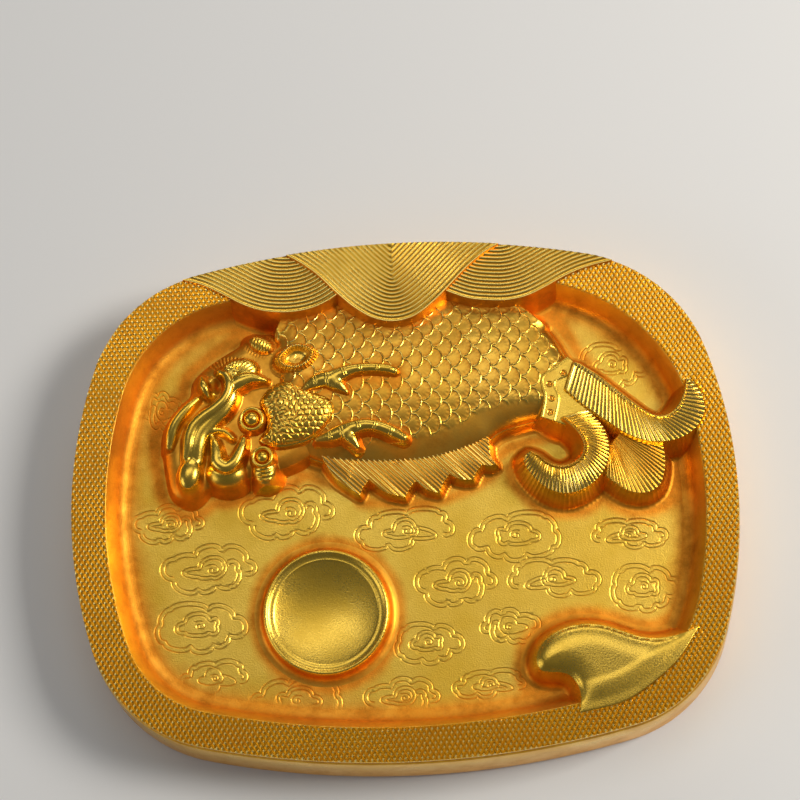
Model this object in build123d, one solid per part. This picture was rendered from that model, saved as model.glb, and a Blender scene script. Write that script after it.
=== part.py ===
from build123d import *
import math
import os

# Gilded ink stone: a hatched rim round a shallow ink well, with a fish-dragon in high
# relief, three wave panels, a wave tongue and a round grinding dish.
# Millimetres, +Z up, +X along the length, +Y to the rear where the waves are.
# The origin is the centre of the foot on the surface that the stone stands on.

# Tray
tray_length = 170.0
tray_width = 135.0
tray_height = 20.0
long_side_radius = 234.0
short_side_radius = 122.0

# Outer side: a lip under the hatching, a groove, then a wall that flares to the foot
lip_height = 2.0
groove_height = 0.9
groove_depth = 0.6
wall_start_set_out = 0.3
side_flare = 2.2
foot_edge_height = 1.6
foot_edge_set_in = 1.2

# Foot recess in the underside
foot_width = 10.0
foot_recess_depth = 5.0
foot_recess_round = 2.0

# Ink well
rim_width_at_ends = 8.3
rim_width_at_sides = 8.5
well_depth = 8.5
well_long_side_radius = 225.0
well_short_side_radius = 111.0
well_shift_right = 0.3
well_shift_front = 0.3
draft_angle = 18.0
well_cove_radius = 3.0

# Wave panels, let into the rear rim
wave_seat_depth = 1.5
side_wave_rise = 0.4
middle_wave_rise = 1.0
wave_wall_spread = 2.6

# Grinding dish
dish_radius = 15.7
dish_height = 3.6
dish_wall_spread = 0.8
dish_lip_width = 0.5
dish_hollow_depth = 2.3

# Wave tongue
tongue_rise = 0.5
tongue_edge_drop = 1.4
tongue_wall_spread = 1.6

# Fish body
body_drop = 0.4
body_crown_radius = 74.0
body_shoulder_height = 4.2
body_shoulder_set_in = 2.6

# Belly fin
fin_height = 4.0

# Tail
collar_drop = 0.5
root_drop = 0.7
tail_lobe_rise = 0.9
curl_lobe_rise = 0.3
fan_lobe_drop = 1.2
lobe_edge = 0.4
stud_radius = 0.75
stud_height = 0.6

# Head
head_base_height = 5.0
crown_rise = 1.0
crown_edge_drop = 2.4
cheek_fan_rise = 0.4
cheek_edge = 0.6
tuft_length = 6.0
tuft_width = 4.0
tuft_drop = 0.9
ear_length = 10.6
ear_width = 6.6
ear_hollow_length = 6.6
ear_hollow_width = 2.8
ear_hollow_depth = 1.1
ear_rise = 0.8
ear_turn = 12.0
ear_seat_drop = 3.2
ear_edge_round = 0.5
upper_eye_radius = 3.3
lower_eye_radius = 2.8
eye_wall = 1.2
eye_socket_rise = 0.2
eye_clearance = 0.1
eyeball_rise = 0.7
snout_rise = 1.3
snout_brow_width = 2.4
snout_middle_width = 3.8
snout_nose_width = 5.0
nostril_length = 6.2
nostril_width = 3.8
nostril_rise = 0.3
lip_width = 2.3
lip_drop = 1.9
chin_length = 9.0
chin_width = 6.2
chin_rise = 0.6
mouth_width = 2.7
mouth_rise = 0.8
bulb_edge_drop = 1.5
bar_edge_share = 0.3

# Horns
horn_root_width = 3.0
horn_middle_width = 3.8
horn_tip_width = 1.8
prong_root_width = 2.6
prong_tip_width = 1.8
horn_rise = 1.9
horn_seat_drop = 2.2

# One length that takes every cut clear of what it cuts
overrun = 6.0

# Corner radii as shares of the tray's width: rear right, rear left, front left, front right
tray_corner_shares = (0.289, 0.270, 0.278, 0.252)
well_corner_shares = (0.341, 0.248, 0.200, 0.248)

# Places, as shares of half the tray's length and half its width, chosen on the photograph
dish_share = (-0.245, -0.429)
wave_left_edge_shares = [
    (-0.703, 0.903), (-0.632, 0.886), (-0.586, 0.867), (-0.527, 0.827), (-0.468, 0.782),
    (-0.410, 0.752), (-0.351, 0.739), (-0.293, 0.740), (-0.234, 0.759), (-0.175, 0.801),
    (-0.140, 0.832),
]
wave_middle_edge_shares = [
    (-0.362, 0.988), (-0.292, 0.937), (-0.233, 0.881), (-0.175, 0.802), (-0.116, 0.730),
    (-0.058, 0.687), (0.001, 0.673), (0.059, 0.689), (0.118, 0.739), (0.176, 0.810),
    (0.235, 0.882), (0.293, 0.937), (0.364, 0.985),
]
wave_right_edge_shares = [
    (0.153, 0.795), (0.188, 0.774), (0.235, 0.753), (0.294, 0.742), (0.352, 0.740),
    (0.411, 0.753), (0.469, 0.786), (0.528, 0.824), (0.587, 0.854), (0.628, 0.870),
    (0.669, 0.883),
]
body_shares = [
    (-0.376, 0.600), (-0.366, 0.690), (-0.290, 0.756), (0.000, 0.775), (0.235, 0.756),
    (0.380, 0.726), (0.425, 0.675), (0.459, 0.640), (0.494, 0.585), (0.520, 0.520),
    (0.438, 0.410), (0.445, 0.340), (0.433, 0.276), (0.389, 0.262), (0.306, 0.232),
    (0.259, 0.191), (0.177, 0.144), (0.094, 0.115), (-0.001, 0.106), (-0.095, 0.112),
    (-0.178, 0.129), (-0.248, 0.154), (-0.308, 0.191), (-0.360, 0.260), (-0.380, 0.362),
    (-0.372, 0.481),
]
collar_inner_shares = [(0.537, 0.515), (0.487, 0.467), (0.440, 0.420), (0.446, 0.347), (0.433, 0.276)]
collar_outer_shares = [(0.561, 0.439), (0.519, 0.418), (0.480, 0.397), (0.489, 0.340), (0.472, 0.258)]
collar_stud_shares = [(0.505, 0.425), (0.464, 0.390), (0.466, 0.336), (0.458, 0.284)]
root_outer_shares = [(0.585, 0.425), (0.549, 0.391), (0.514, 0.358), (0.552, 0.304), (0.505, 0.240)]
long_lobe_inner_shares = [
    (0.563, 0.445), (0.610, 0.401), (0.657, 0.346), (0.704, 0.293), (0.745, 0.250),
    (0.780, 0.231), (0.815, 0.240), (0.845, 0.275), (0.866, 0.327), (0.873, 0.352),
    (0.875, 0.376),
]
long_lobe_outer_shares = [
    (0.514, 0.356), (0.552, 0.305), (0.587, 0.268), (0.634, 0.221), (0.680, 0.176),
    (0.727, 0.148), (0.774, 0.138), (0.821, 0.142), (0.868, 0.166), (0.903, 0.209),
    (0.918, 0.260), (0.913, 0.312), (0.889, 0.370),
]
curl_lobe_outer_shares = [
    (0.552, 0.302), (0.587, 0.255), (0.614, 0.203), (0.625, 0.144), (0.620, 0.085),
    (0.599, 0.033), (0.564, -0.008), (0.523, -0.033), (0.482, -0.038), (0.435, -0.015),
    (0.399, 0.026), (0.376, 0.070), (0.373, 0.112),
]
curl_lobe_inner_shares = [
    (0.476, 0.265), (0.517, 0.221), (0.546, 0.174), (0.552, 0.129), (0.540, 0.093),
    (0.511, 0.067), (0.482, 0.060), (0.452, 0.069), (0.429, 0.088), (0.411, 0.109),
    (0.391, 0.123),
]
fan_lobe_shares = [
    (0.590, 0.215), (0.671, 0.195), (0.740, 0.165), (0.789, 0.135), (0.792, 0.076),
    (0.787, 0.031), (0.771, -0.013), (0.742, -0.036), (0.707, -0.041), (0.671, -0.022),
    (0.642, 0.005), (0.600, 0.031), (0.578, 0.090), (0.577, 0.160),
]
tongue_shares = [
    (0.840, -0.570), (0.809, -0.590), (0.717, -0.613), (0.630, -0.579), (0.530, -0.543),
    (0.442, -0.556), (0.384, -0.600), (0.370, -0.647), (0.385, -0.690), (0.443, -0.702),
    (0.483, -0.752), (0.497, -0.814), (0.520, -0.900), (0.700, -0.860), (0.800, -0.780),
    (0.860, -0.680),
]
fin_base_shares = [
    (-0.242, 0.200), (-0.157, 0.180), (-0.075, 0.165), (-0.014, 0.160), (0.068, 0.165),
    (0.129, 0.175), (0.191, 0.190), (0.232, 0.210), (0.264, 0.225),
]
fin_tooth_tip_shares = [
    (-0.130, 0.014), (0.006, -0.003), (0.110, 0.006), (0.214, 0.050), (0.285, 0.104),
]
fin_tooth_notch_shares = [
    (-0.101, 0.071), (0.042, 0.058), (0.143, 0.075), (0.245, 0.107), (0.264, 0.150),
]
fin_tooth_bow_share = 0.12
head_base_shares = [
    (-0.690, 0.050), (-0.712, 0.140), (-0.716, 0.234), (-0.706, 0.324), (-0.668, 0.398),
    (-0.632, 0.445), (-0.622, 0.503), (-0.585, 0.548), (-0.548, 0.578), (-0.505, 0.610),
    (-0.450, 0.655), (-0.385, 0.665), (-0.360, 0.570), (-0.330, 0.480), (-0.250, 0.425),
    (-0.190, 0.375), (-0.192, 0.300), (-0.230, 0.240), (-0.275, 0.190), (-0.320, 0.145),
    (-0.380, 0.122), (-0.445, 0.110), (-0.499, 0.078), (-0.546, 0.065), (-0.588, 0.072),
    (-0.640, 0.025),
]
crown_shares = [
    (-0.406, 0.410), (-0.384, 0.440), (-0.338, 0.460), (-0.295, 0.440), (-0.250, 0.407),
    (-0.204, 0.382), (-0.196, 0.346), (-0.213, 0.299), (-0.256, 0.246), (-0.321, 0.219),
    (-0.375, 0.218), (-0.400, 0.250), (-0.390, 0.300), (-0.405, 0.360),
]
cheek_fan_shares = [
    (-0.516, 0.496), (-0.540, 0.523), (-0.512, 0.558), (-0.475, 0.571), (-0.438, 0.548),
    (-0.429, 0.503), (-0.402, 0.470), (-0.425, 0.453), (-0.450, 0.446), (-0.490, 0.455),
]
tuft_share = (-0.417, 0.621)
ear_share = (-0.308, 0.556)
upper_eye_share = (-0.450, 0.318)
lower_eye_share = (-0.419, 0.165)
snout_shares = [(-0.524, 0.440), (-0.548, 0.370), (-0.590, 0.330), (-0.630, 0.280), (-0.642, 0.205)]
nostril_share = (-0.588, 0.455)
nostril_turn = 80.0
lip_shares = [(-0.640, 0.392), (-0.684, 0.325), (-0.702, 0.225)]
chin_share = (-0.642, 0.110)
chin_turn = 80.0
mouth_shares = [(-0.556, 0.240), (-0.552, 0.180), (-0.522, 0.143), (-0.488, 0.162), (-0.470, 0.215)]
upper_horn_shares = [(-0.270, 0.435), (-0.205, 0.467), (-0.120, 0.486), (-0.050, 0.488), (0.000, 0.474)]
upper_prong_shares = [(-0.170, 0.470), (-0.152, 0.440), (-0.148, 0.410)]
lower_horn_shares = [(-0.250, 0.222), (-0.190, 0.250), (-0.110, 0.272), (-0.035, 0.252), (0.022, 0.217)]
lower_prong_shares = [(-0.145, 0.254), (-0.128, 0.224), (-0.123, 0.192)]

# Sizes that follow from the ones above
half_length = tray_length / 2
half_width = tray_width / 2
rim_z = tray_height
floor_z = tray_height - well_depth
well_half_length = half_length - rim_width_at_ends
well_half_width = half_width - rim_width_at_sides
well_inset = well_depth * math.tan(math.radians(draft_angle))
groove_top_z = tray_height - lip_height
groove_base_z = groove_top_z - groove_height
head_base_z = floor_z + head_base_height
body_top_z = rim_z - body_drop
body_shoulder_z = floor_z + body_shoulder_height
tray_corner_radii = tuple(tray_width * share for share in tray_corner_shares)
well_corner_radii = tuple(tray_width * share for share in well_corner_shares)


def place(share):
    """The plan point of a share of the tray."""
    return (share[0] * half_length, share[1] * half_width)


def places(shares):
    return [place(share) for share in shares]


def at_height(points, z):
    return [Vector(x, y, z) for x, y in points]


def set_out(points, distance, closed=True):
    """The outline moved outward, to the right of its direction of travel."""
    moved = []
    last = len(points) - 1
    for index, (x, y) in enumerate(points):
        before = points[index - 1] if closed or index > 0 else points[index]
        after = points[(index + 1) % (last + 1)] if closed or index < last else points[index]
        along_x = after[0] - before[0]
        along_y = after[1] - before[1]
        length = math.hypot(along_x, along_y)
        moved.append((x + along_y / length * distance, y - along_x / length * distance))
    return moved


def anticlockwise(points):
    area = sum(a[0] * b[1] - b[0] * a[1] for a, b in zip(points, points[1:] + points[:1]))
    return points if area > 0 else points[:1] + points[:0:-1]


def main_solid(shape):
    """The largest solid that a cut leaves."""
    return shape.solids().sort_by(SortBy.VOLUME)[-1]


def seat(piece, *carriers):
    """The piece cut exactly to what it stands on and beside."""
    for carrier in carriers:
        piece = piece - carrier
    return main_solid(piece)


def corner_centre(half_l, half_w, long_r, short_r, corner_r):
    """The centre of the arc tangent inside a long side arc and a short side arc."""
    long_reach = long_r - corner_r
    short_reach = short_r - corner_r
    long_centre_y = half_w - long_r
    short_centre_x = half_l - short_r
    apart = math.hypot(short_centre_x, long_centre_y)
    along = (long_reach**2 - short_reach**2 + apart**2) / (2 * apart)
    across = math.sqrt(long_reach**2 - along**2)
    unit_x = short_centre_x / apart
    unit_y = -long_centre_y / apart
    candidates = []
    for side in (1, -1):
        x = unit_x * along - side * unit_y * across
        y = long_centre_y + unit_y * along + side * unit_x * across
        candidates.append((x, y))
    return max(candidates, key=lambda centre: centre[0] + centre[1])


def rounded_outline(half_l, half_w, long_r, short_r, corner_radii, grow, z, shift=(0, 0)):
    """A face bounded by four bowed sides and four corner arcs, grown evenly by a distance."""
    half_l = half_l + grow
    half_w = half_w + grow
    long_r = long_r + grow
    short_r = short_r + grow
    quarters = []
    for corner_r, (sign_x, sign_y) in zip(corner_radii, ((1, 1), (-1, 1), (-1, -1), (1, -1))):
        corner_r = corner_r + grow
        centre_x, centre_y = corner_centre(half_l, half_w, long_r, short_r, corner_r)
        long_turn = math.atan2(centre_y - half_w + long_r, centre_x)
        short_turn = math.atan2(centre_y, centre_x - half_l + short_r)
        middle_turn = (long_turn + short_turn) / 2
        ends = []
        for turn in (short_turn, middle_turn, long_turn):
            x = centre_x + corner_r * math.cos(turn)
            y = centre_y + corner_r * math.sin(turn)
            ends.append(Vector(sign_x * x + shift[0], sign_y * y + shift[1], z))
        quarters.append(ends if sign_x * sign_y > 0 else ends[::-1])
    side_middles = [
        Vector(shift[0], half_w + shift[1], z),
        Vector(-half_l + shift[0], shift[1], z),
        Vector(shift[0], -half_w + shift[1], z),
        Vector(half_l + shift[0], shift[1], z),
    ]
    edges = []
    for index, corner in enumerate(quarters):
        following = quarters[(index + 1) % 4]
        edges.append(ThreePointArc(*corner))
        edges.append(ThreePointArc(corner[2], side_middles[index], following[0]))
    return make_face(edges)


def tray_outline(grow, z):
    return rounded_outline(
        half_length, half_width, long_side_radius, short_side_radius, tray_corner_radii, grow, z
    )


def well_outline(grow, z):
    return rounded_outline(
        well_half_length, well_half_width, well_long_side_radius, well_short_side_radius,
        well_corner_radii, grow, z, (well_shift_right, -well_shift_front),
    )


def arc_chain(points, z):
    """Arcs through every three points in turn."""
    stops = at_height(points, z)
    return [ThreePointArc(*stops[first : first + 3]) for first in range(0, len(stops) - 2, 2)]


def closed_face(points, z=0):
    return make_face(arc_chain(points + points[:1], z))


def two_sided_face(right_side, left_side, z=0):
    """A face between two chains of arcs that are joined by straight ends."""
    right = at_height([right_side[0], right_side[-1]], z)
    left = at_height([left_side[0], left_side[-1]], z)
    ends = [Line(right[1], left[1]), Line(left[0], right[0])]
    return make_face(arc_chain(right_side, z) + arc_chain(left_side, z) + ends)


def band_sides(points, widths):
    """The two sides of a band along a line, as wide at each point as the widths say."""
    right = []
    left = []
    for index, width in enumerate(widths):
        right.append(set_out(points, width / 2, closed=False)[index])
        left.append(set_out(points, -width / 2, closed=False)[index])
    return right, left


def prism(face, low_z, high_z):
    return extrude(Pos(0, 0, low_z) * face, high_z - low_z)


def softened(solid, radius):
    """The solid with its top edge rounded."""
    return fillet(solid.edges().group_by(Axis.Z)[-1], radius)


def mound(points, sections):
    """A closed outline, set out by a distance at each height, as (height, set out)."""
    points = anticlockwise(points)
    return loft([closed_face(set_out(points, distance), z) for z, distance in sections], ruled=True)


def edged(low_z, top_z, edge):
    """The sections of an upright side whose top edge is taken off at a slant."""
    return ((low_z, 0), (top_z - edge, 0), (top_z, -edge))


def two_sided_mound(right_side, left_side, sections):
    """A form between two chains of arcs, set out by a distance at each height."""
    faces = []
    for z, distance in sections:
        right = set_out(right_side, distance, closed=False)
        left = set_out(left_side, -distance, closed=False)
        faces.append(two_sided_face(right, left, z))
    return loft(faces, ruled=True)


def crown_over(middle, reach, top_z, edge_drop):
    """A ball whose top is at a height and that has dropped by the edge drop at a reach."""
    radius = (reach**2 + edge_drop**2) / (2 * edge_drop)
    return Pos(middle[0], middle[1], top_z - radius) * Sphere(radius)


def reach_of(points):
    middle_x = (min(p[0] for p in points) + max(p[0] for p in points)) / 2
    middle_y = (min(p[1] for p in points) + max(p[1] for p in points)) / 2
    reach = max(math.hypot(p[0] - middle_x, p[1] - middle_y) for p in points)
    return (middle_x, middle_y), reach


def slab(low_z, high_z):
    """A block wider than the tray between two heights."""
    size = tray_length + tray_width
    return Pos(0, 0, (low_z + high_z) / 2) * Box(size, size, high_z - low_z)


def full_height(face):
    """The space over an outline, to cut a neighbour with."""
    return prism(face, 0, rim_z + overrun)


def upright(share, base_z):
    return Pos(*place(share), base_z)


def oval_face(share, length, width, turn):
    return upright(share, 0) * Rot(0, 0, turn) * Ellipse(length / 2, width / 2)


def make_tray(wave_envelope):
    lower = loft(
        [
            tray_outline(side_flare - foot_edge_set_in, 0),
            tray_outline(side_flare, foot_edge_height),
            tray_outline(wall_start_set_out, groove_base_z),
        ],
        ruled=True,
    )
    neck = extrude(tray_outline(-groove_depth, groove_base_z), groove_height)
    lip = extrude(tray_outline(0, groove_top_z), lip_height)
    body = lower + neck + lip
    well = loft([well_outline(-well_inset, floor_z), well_outline(0, rim_z)], ruled=True)
    well = fillet(well.edges().group_by(Axis.Z)[0], well_cove_radius)
    body = body - well
    recess = extrude(tray_outline(-foot_width, 0), foot_recess_depth)
    recess = fillet(recess.edges().group_by(Axis.Z)[-1], foot_recess_round)
    body = body - recess
    rebate = wave_envelope & slab(rim_z - wave_seat_depth, rim_z + overrun)
    return main_solid(body - rebate)


def wave_block(edge_shares, top_z):
    """All that lies behind a wave's front edge, wider towards the floor."""
    edge = places(edge_shares)
    rear_y = half_width + overrun
    faces = []
    for z, distance in ((floor_z, wave_wall_spread), (top_z, 0)):
        front = set_out(edge, distance, closed=False)
        left_end, right_end = at_height([front[0], front[-1]], z)
        rear_right = Vector(right_end.X, rear_y, z)
        rear_left = Vector(left_end.X, rear_y, z)
        faces.append(make_face(arc_chain(front, z) + [Polyline(right_end, rear_right, rear_left, left_end)]))
    return loft(faces, ruled=True)


def make_dish():
    foot_radius = dish_radius + dish_wall_spread
    hollow_radius = dish_radius - dish_lip_width
    bowl_radius = (hollow_radius**2 + dish_hollow_depth**2) / (2 * dish_hollow_depth)
    stand = Cone(foot_radius, dish_radius, dish_height, align=(Align.CENTER, Align.CENTER, Align.MIN))
    bowl = Pos(0, 0, dish_height - dish_hollow_depth + bowl_radius) * Sphere(bowl_radius)
    return main_solid(stand - bowl)


def make_tongue(tray):
    points = places(tongue_shares)
    middle, reach = reach_of(points)
    block = mound(points, ((floor_z, tongue_wall_spread), (rim_z + tongue_rise, 0)))
    block = block & crown_over(middle, reach, rim_z + tongue_rise, tongue_edge_drop)
    return seat(block & extrude(well_outline(0, 0), rim_z + overrun), tray)


def make_body(*carriers):
    """The trunk: upright below the shoulder, drawn in above it, under a barrel shaped crown."""
    sections = ((floor_z, 0), (body_shoulder_z, 0), (body_top_z, -body_shoulder_set_in))
    points = places(body_shares)
    middle_y = reach_of(points)[0][1]
    barrel = Pos(0, middle_y, body_top_z - body_crown_radius) * Rot(0, 90, 0)
    barrel = barrel * Cylinder(body_crown_radius, tray_length)
    return seat(mound(points, sections) & barrel, *carriers)


def fin_face():
    """The fin's outline: the base line, then the bowed front and straight back of each tooth."""
    base = places(fin_base_shares)
    tips = places(fin_tooth_tip_shares)
    notches = [base[0]] + places(fin_tooth_notch_shares)
    edges = arc_chain(base, 0)
    for tip, before, after in zip(tips, notches, notches[1:]):
        run_x = tip[0] - before[0]
        run_y = tip[1] - before[1]
        bow = (
            (tip[0] + before[0]) / 2 + run_y * fin_tooth_bow_share,
            (tip[1] + before[1]) / 2 - run_x * fin_tooth_bow_share,
        )
        edges.append(ThreePointArc(*at_height([before, bow, tip], 0)))
        edges.append(Line(*at_height([tip, after], 0)))
    edges.append(Line(*at_height([notches[-1], base[-1]], 0)))
    return make_face(edges)


def make_studs(collar_z):
    studs = []
    for share in collar_stud_shares:
        stud = Cylinder(stud_radius, stud_height, align=(Align.CENTER, Align.CENTER, Align.MIN))
        studs.append(upright(share, collar_z) * stud)
    return Compound(children=studs)


def make_crown(*neighbours):
    points = places(crown_shares)
    middle, reach = reach_of(points)
    top_z = rim_z + crown_rise
    block = prism(closed_face(points), head_base_z, top_z)
    return seat(block & crown_over(middle, reach, top_z, crown_edge_drop), *neighbours)


def make_bulb(face, share, reach, top_z, *neighbours):
    """A boss with a crowned top."""
    block = prism(face, head_base_z, top_z)
    return seat(block & crown_over(place(share), reach, top_z, bulb_edge_drop), *neighbours)


def make_eyeball(share, radius):
    ball_radius = radius - eye_wall - eye_clearance
    ball_z = rim_z + eyeball_rise - ball_radius
    stem = prism(upright(share, 0) * Circle(ball_radius), head_base_z, ball_z)
    return main_solid(stem + upright(share, ball_z) * Sphere(ball_radius))


def make_bar(sides, width, top_z, *neighbours):
    """A bar on the head base with a slanted edge along its back."""
    return seat(two_sided_mound(*sides, edged(head_base_z, top_z, width * bar_edge_share)), *neighbours)


def well_space():
    """The room in the well clear of its sloping wall and cove, and all that is above the rim."""
    clear_inset = well_inset + well_cove_radius
    room = loft([well_outline(-clear_inset, floor_z), well_outline(0, rim_z)], ruled=True)
    return room + slab(rim_z, rim_z + overrun)


def make_tail():
    """The collar, its studs, the root and the three lobes of the tail."""
    collar_z = rim_z - collar_drop
    root_z = rim_z - root_drop
    body_space = full_height(closed_face(places(body_shares)))
    collar_face = two_sided_face(places(collar_inner_shares), places(collar_outer_shares))
    root_face = two_sided_face(places(collar_outer_shares), places(root_outer_shares))
    long_sides = (places(long_lobe_outer_shares), places(long_lobe_inner_shares))
    curl_sides = (places(curl_lobe_inner_shares), places(curl_lobe_outer_shares))
    long_top_z = rim_z + tail_lobe_rise
    curl_top_z = rim_z + curl_lobe_rise
    fan_top_z = rim_z - fan_lobe_drop
    collar_space = full_height(collar_face)
    root_space = full_height(root_face)
    long_space = full_height(two_sided_face(*long_sides))
    curl_space = full_height(two_sided_face(*curl_sides))
    long_lobe = two_sided_mound(*long_sides, edged(floor_z, long_top_z, lobe_edge))
    curl_lobe = two_sided_mound(*curl_sides, edged(floor_z, curl_top_z, lobe_edge))
    fan_lobe = mound(places(fan_lobe_shares), edged(floor_z, fan_top_z, lobe_edge))
    return {
        "tail_collar": seat(prism(collar_face, floor_z, collar_z), body_space),
        "collar_studs": make_studs(collar_z),
        "tail_root": seat(prism(root_face, floor_z, root_z), body_space, collar_space),
        "tail_lobe_long": seat(long_lobe & well_space(), body_space, collar_space, root_space),
        "tail_lobe_curl": seat(curl_lobe, body_space, collar_space, root_space, long_space),
        "tail_lobe_fan": seat(fan_lobe, body_space, root_space, long_space, curl_space),
    }


def make_face_features(crown_face):
    """The features that stand on the head base, the first named keeping its full outline."""
    eyes = {}
    eye_spaces = []
    for name, share, radius in (
        ("upper", upper_eye_share, upper_eye_radius),
        ("lower", lower_eye_share, lower_eye_radius),
    ):
        disc = upright(share, 0) * Circle(radius)
        ring = disc - upright(share, 0) * Circle(radius - eye_wall)
        eyes["eye_socket_" + name] = main_solid(prism(ring, head_base_z, rim_z + eye_socket_rise))
        eyes["eyeball_" + name] = make_eyeball(share, radius)
        eye_spaces.append(full_height(disc))
    cheek_face = closed_face(places(cheek_fan_shares))
    snout_widths = (
        snout_brow_width, snout_middle_width, snout_middle_width, snout_nose_width, snout_nose_width,
    )
    snout_sides = band_sides(places(snout_shares), snout_widths)
    mouth_sides = band_sides(places(mouth_shares), (mouth_width,) * len(mouth_shares))
    lip_sides = band_sides(places(lip_shares), (lip_width,) * len(lip_shares))
    cheek_space = full_height(cheek_face)
    snout_space = full_height(two_sided_face(*snout_sides))
    mouth_space = full_height(two_sided_face(*mouth_sides))
    lip_space = full_height(two_sided_face(*lip_sides))
    nostril_face = oval_face(nostril_share, nostril_length, nostril_width, nostril_turn)
    chin_face = oval_face(chin_share, chin_length, chin_width, chin_turn)
    tuft_face = oval_face(tuft_share, tuft_length, tuft_width, 0)
    cheek = mound(places(cheek_fan_shares), edged(head_base_z, rim_z + cheek_fan_rise, cheek_edge))
    return {
        **eyes,
        "crown_dome": make_crown(*eye_spaces),
        "cheek_fan": seat(cheek, full_height(crown_face), *eye_spaces),
        "snout_ridge": make_bar(snout_sides, snout_brow_width, rim_z + snout_rise, cheek_space, *eye_spaces),
        "mouth_curl": make_bar(mouth_sides, mouth_width, rim_z + mouth_rise, snout_space, *eye_spaces),
        "lip_bar": make_bar(lip_sides, lip_width, rim_z - lip_drop, snout_space),
        "nostril_bulb": make_bulb(
            nostril_face, nostril_share, nostril_length / 2, rim_z + nostril_rise, snout_space, cheek_space
        ),
        "chin_bulb": make_bulb(
            chin_face, chin_share, chin_length / 2, rim_z + chin_rise, snout_space, lip_space, mouth_space
        ),
        "cheek_tuft": make_bulb(
            tuft_face, tuft_share, tuft_length / 2, rim_z - tuft_drop, cheek_space
        ),
    }


def horn_faces(horn_shares, prong_shares):
    widths = (horn_root_width, horn_middle_width, horn_middle_width, horn_middle_width, horn_tip_width)
    prong_widths = (prong_root_width, prong_root_width, prong_tip_width)
    horn = two_sided_face(*band_sides(places(horn_shares), widths))
    return horn + two_sided_face(*band_sides(places(prong_shares), prong_widths))


def make_parts():
    middle_block = wave_block(wave_middle_edge_shares, rim_z + middle_wave_rise)
    left_block = wave_block(wave_left_edge_shares, rim_z + side_wave_rise)
    right_block = wave_block(wave_right_edge_shares, rim_z + side_wave_rise)
    envelope = extrude(tray_outline(0, 0), rim_z + overrun)
    middle_block = middle_block & envelope
    left_block = left_block & envelope
    right_block = right_block & envelope
    tray = make_tray(middle_block + left_block + right_block)
    middle = seat(middle_block, tray)
    left = seat(left_block, tray, middle_block)
    right = seat(right_block, tray, middle_block)

    head_face = closed_face(places(head_base_shares))
    head_space = full_height(head_face)
    crown_face = closed_face(places(crown_shares))
    ear_face = oval_face(ear_share, ear_length, ear_width, ear_turn)
    ear_hollow_face = oval_face(ear_share, ear_hollow_length, ear_hollow_width, ear_turn)
    ear_seat_z = rim_z - ear_seat_drop
    ear_top_z = rim_z + ear_rise
    horn_seat_z = rim_z - horn_seat_drop
    horn_top_z = rim_z + horn_rise
    upper_horn_face = horn_faces(upper_horn_shares, upper_prong_shares)
    lower_horn_face = horn_faces(lower_horn_shares, lower_prong_shares)
    ear_seat = prism(ear_face, ear_seat_z, rim_z + overrun)
    upper_horn_seat = prism(upper_horn_face, horn_seat_z, rim_z + overrun)
    lower_horn_seat = prism(lower_horn_face, horn_seat_z, rim_z + overrun)

    body = make_body(
        middle_block, left_block, right_block, head_space, ear_seat, upper_horn_seat, lower_horn_seat
    )
    ear = softened(prism(ear_face, ear_seat_z, ear_top_z), ear_edge_round)
    ear_hollow = prism(ear_hollow_face, ear_top_z - ear_hollow_depth, ear_top_z + overrun)
    body_space = full_height(closed_face(places(body_shares)))
    parts = {
        "tray": tray,
        "wave_panel_middle": middle,
        "wave_panel_left": left,
        "wave_panel_right": right,
        "grinding_dish": upright(dish_share, floor_z) * make_dish(),
        "wave_tongue": make_tongue(tray),
        "fish_body": body,
        "belly_fin": seat(prism(fin_face(), floor_z, floor_z + fin_height), body_space, head_space),
        "head_base": seat(prism(head_face, floor_z, head_base_z), left_block),
        "ear_shell": main_solid(ear - ear_hollow),
        "horn_upper": main_solid(prism(upper_horn_face, horn_seat_z, horn_top_z)),
        "horn_lower": main_solid(prism(lower_horn_face, horn_seat_z, horn_top_z)),
    }
    parts.update(make_tail())
    parts.update(make_face_features(crown_face))
    for horn_seat in (ear_seat, upper_horn_seat, lower_horn_seat):
        parts["crown_dome"] = seat(parts["crown_dome"], horn_seat)
    return parts


os.makedirs("parts", exist_ok=True)
for name, shape in make_parts().items():
    export_step(shape, f"parts/{name}.step")
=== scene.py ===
import math

import bpy
import numpy as np
from mathutils import Matrix, Vector, kdtree
from mathutils.geometry import delaunay_2d_cdt


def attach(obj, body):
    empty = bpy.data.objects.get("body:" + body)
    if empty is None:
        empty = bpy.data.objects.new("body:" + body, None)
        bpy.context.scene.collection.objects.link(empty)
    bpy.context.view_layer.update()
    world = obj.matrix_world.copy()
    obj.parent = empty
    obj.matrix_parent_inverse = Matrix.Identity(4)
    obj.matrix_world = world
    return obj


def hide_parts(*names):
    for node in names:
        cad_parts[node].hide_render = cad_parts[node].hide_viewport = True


# Gilded ink stone with a fish-dragon relief. All places below are in millimetres in the
# part's own frame: X along the length, Y to the rear, Z up, origin under the foot's centre.

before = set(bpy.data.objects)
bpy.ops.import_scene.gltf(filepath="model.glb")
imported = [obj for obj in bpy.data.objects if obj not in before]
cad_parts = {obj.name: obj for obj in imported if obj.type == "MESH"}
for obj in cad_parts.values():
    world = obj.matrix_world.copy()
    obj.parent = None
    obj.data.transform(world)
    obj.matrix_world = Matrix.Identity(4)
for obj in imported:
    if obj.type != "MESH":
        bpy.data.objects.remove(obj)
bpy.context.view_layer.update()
MM = 0.001

RIM = 20.0
FLOOR = 11.5
HEAD_BASE = 16.5
# The walls' lean from upright in degrees, and the wall length that takes a ring half way down
DRAFT = 18.0
LONG_WALL = 0.3
# How far each piece goes on under the face that it stands on
SUNK = 0.15


# Lines in plan


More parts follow.
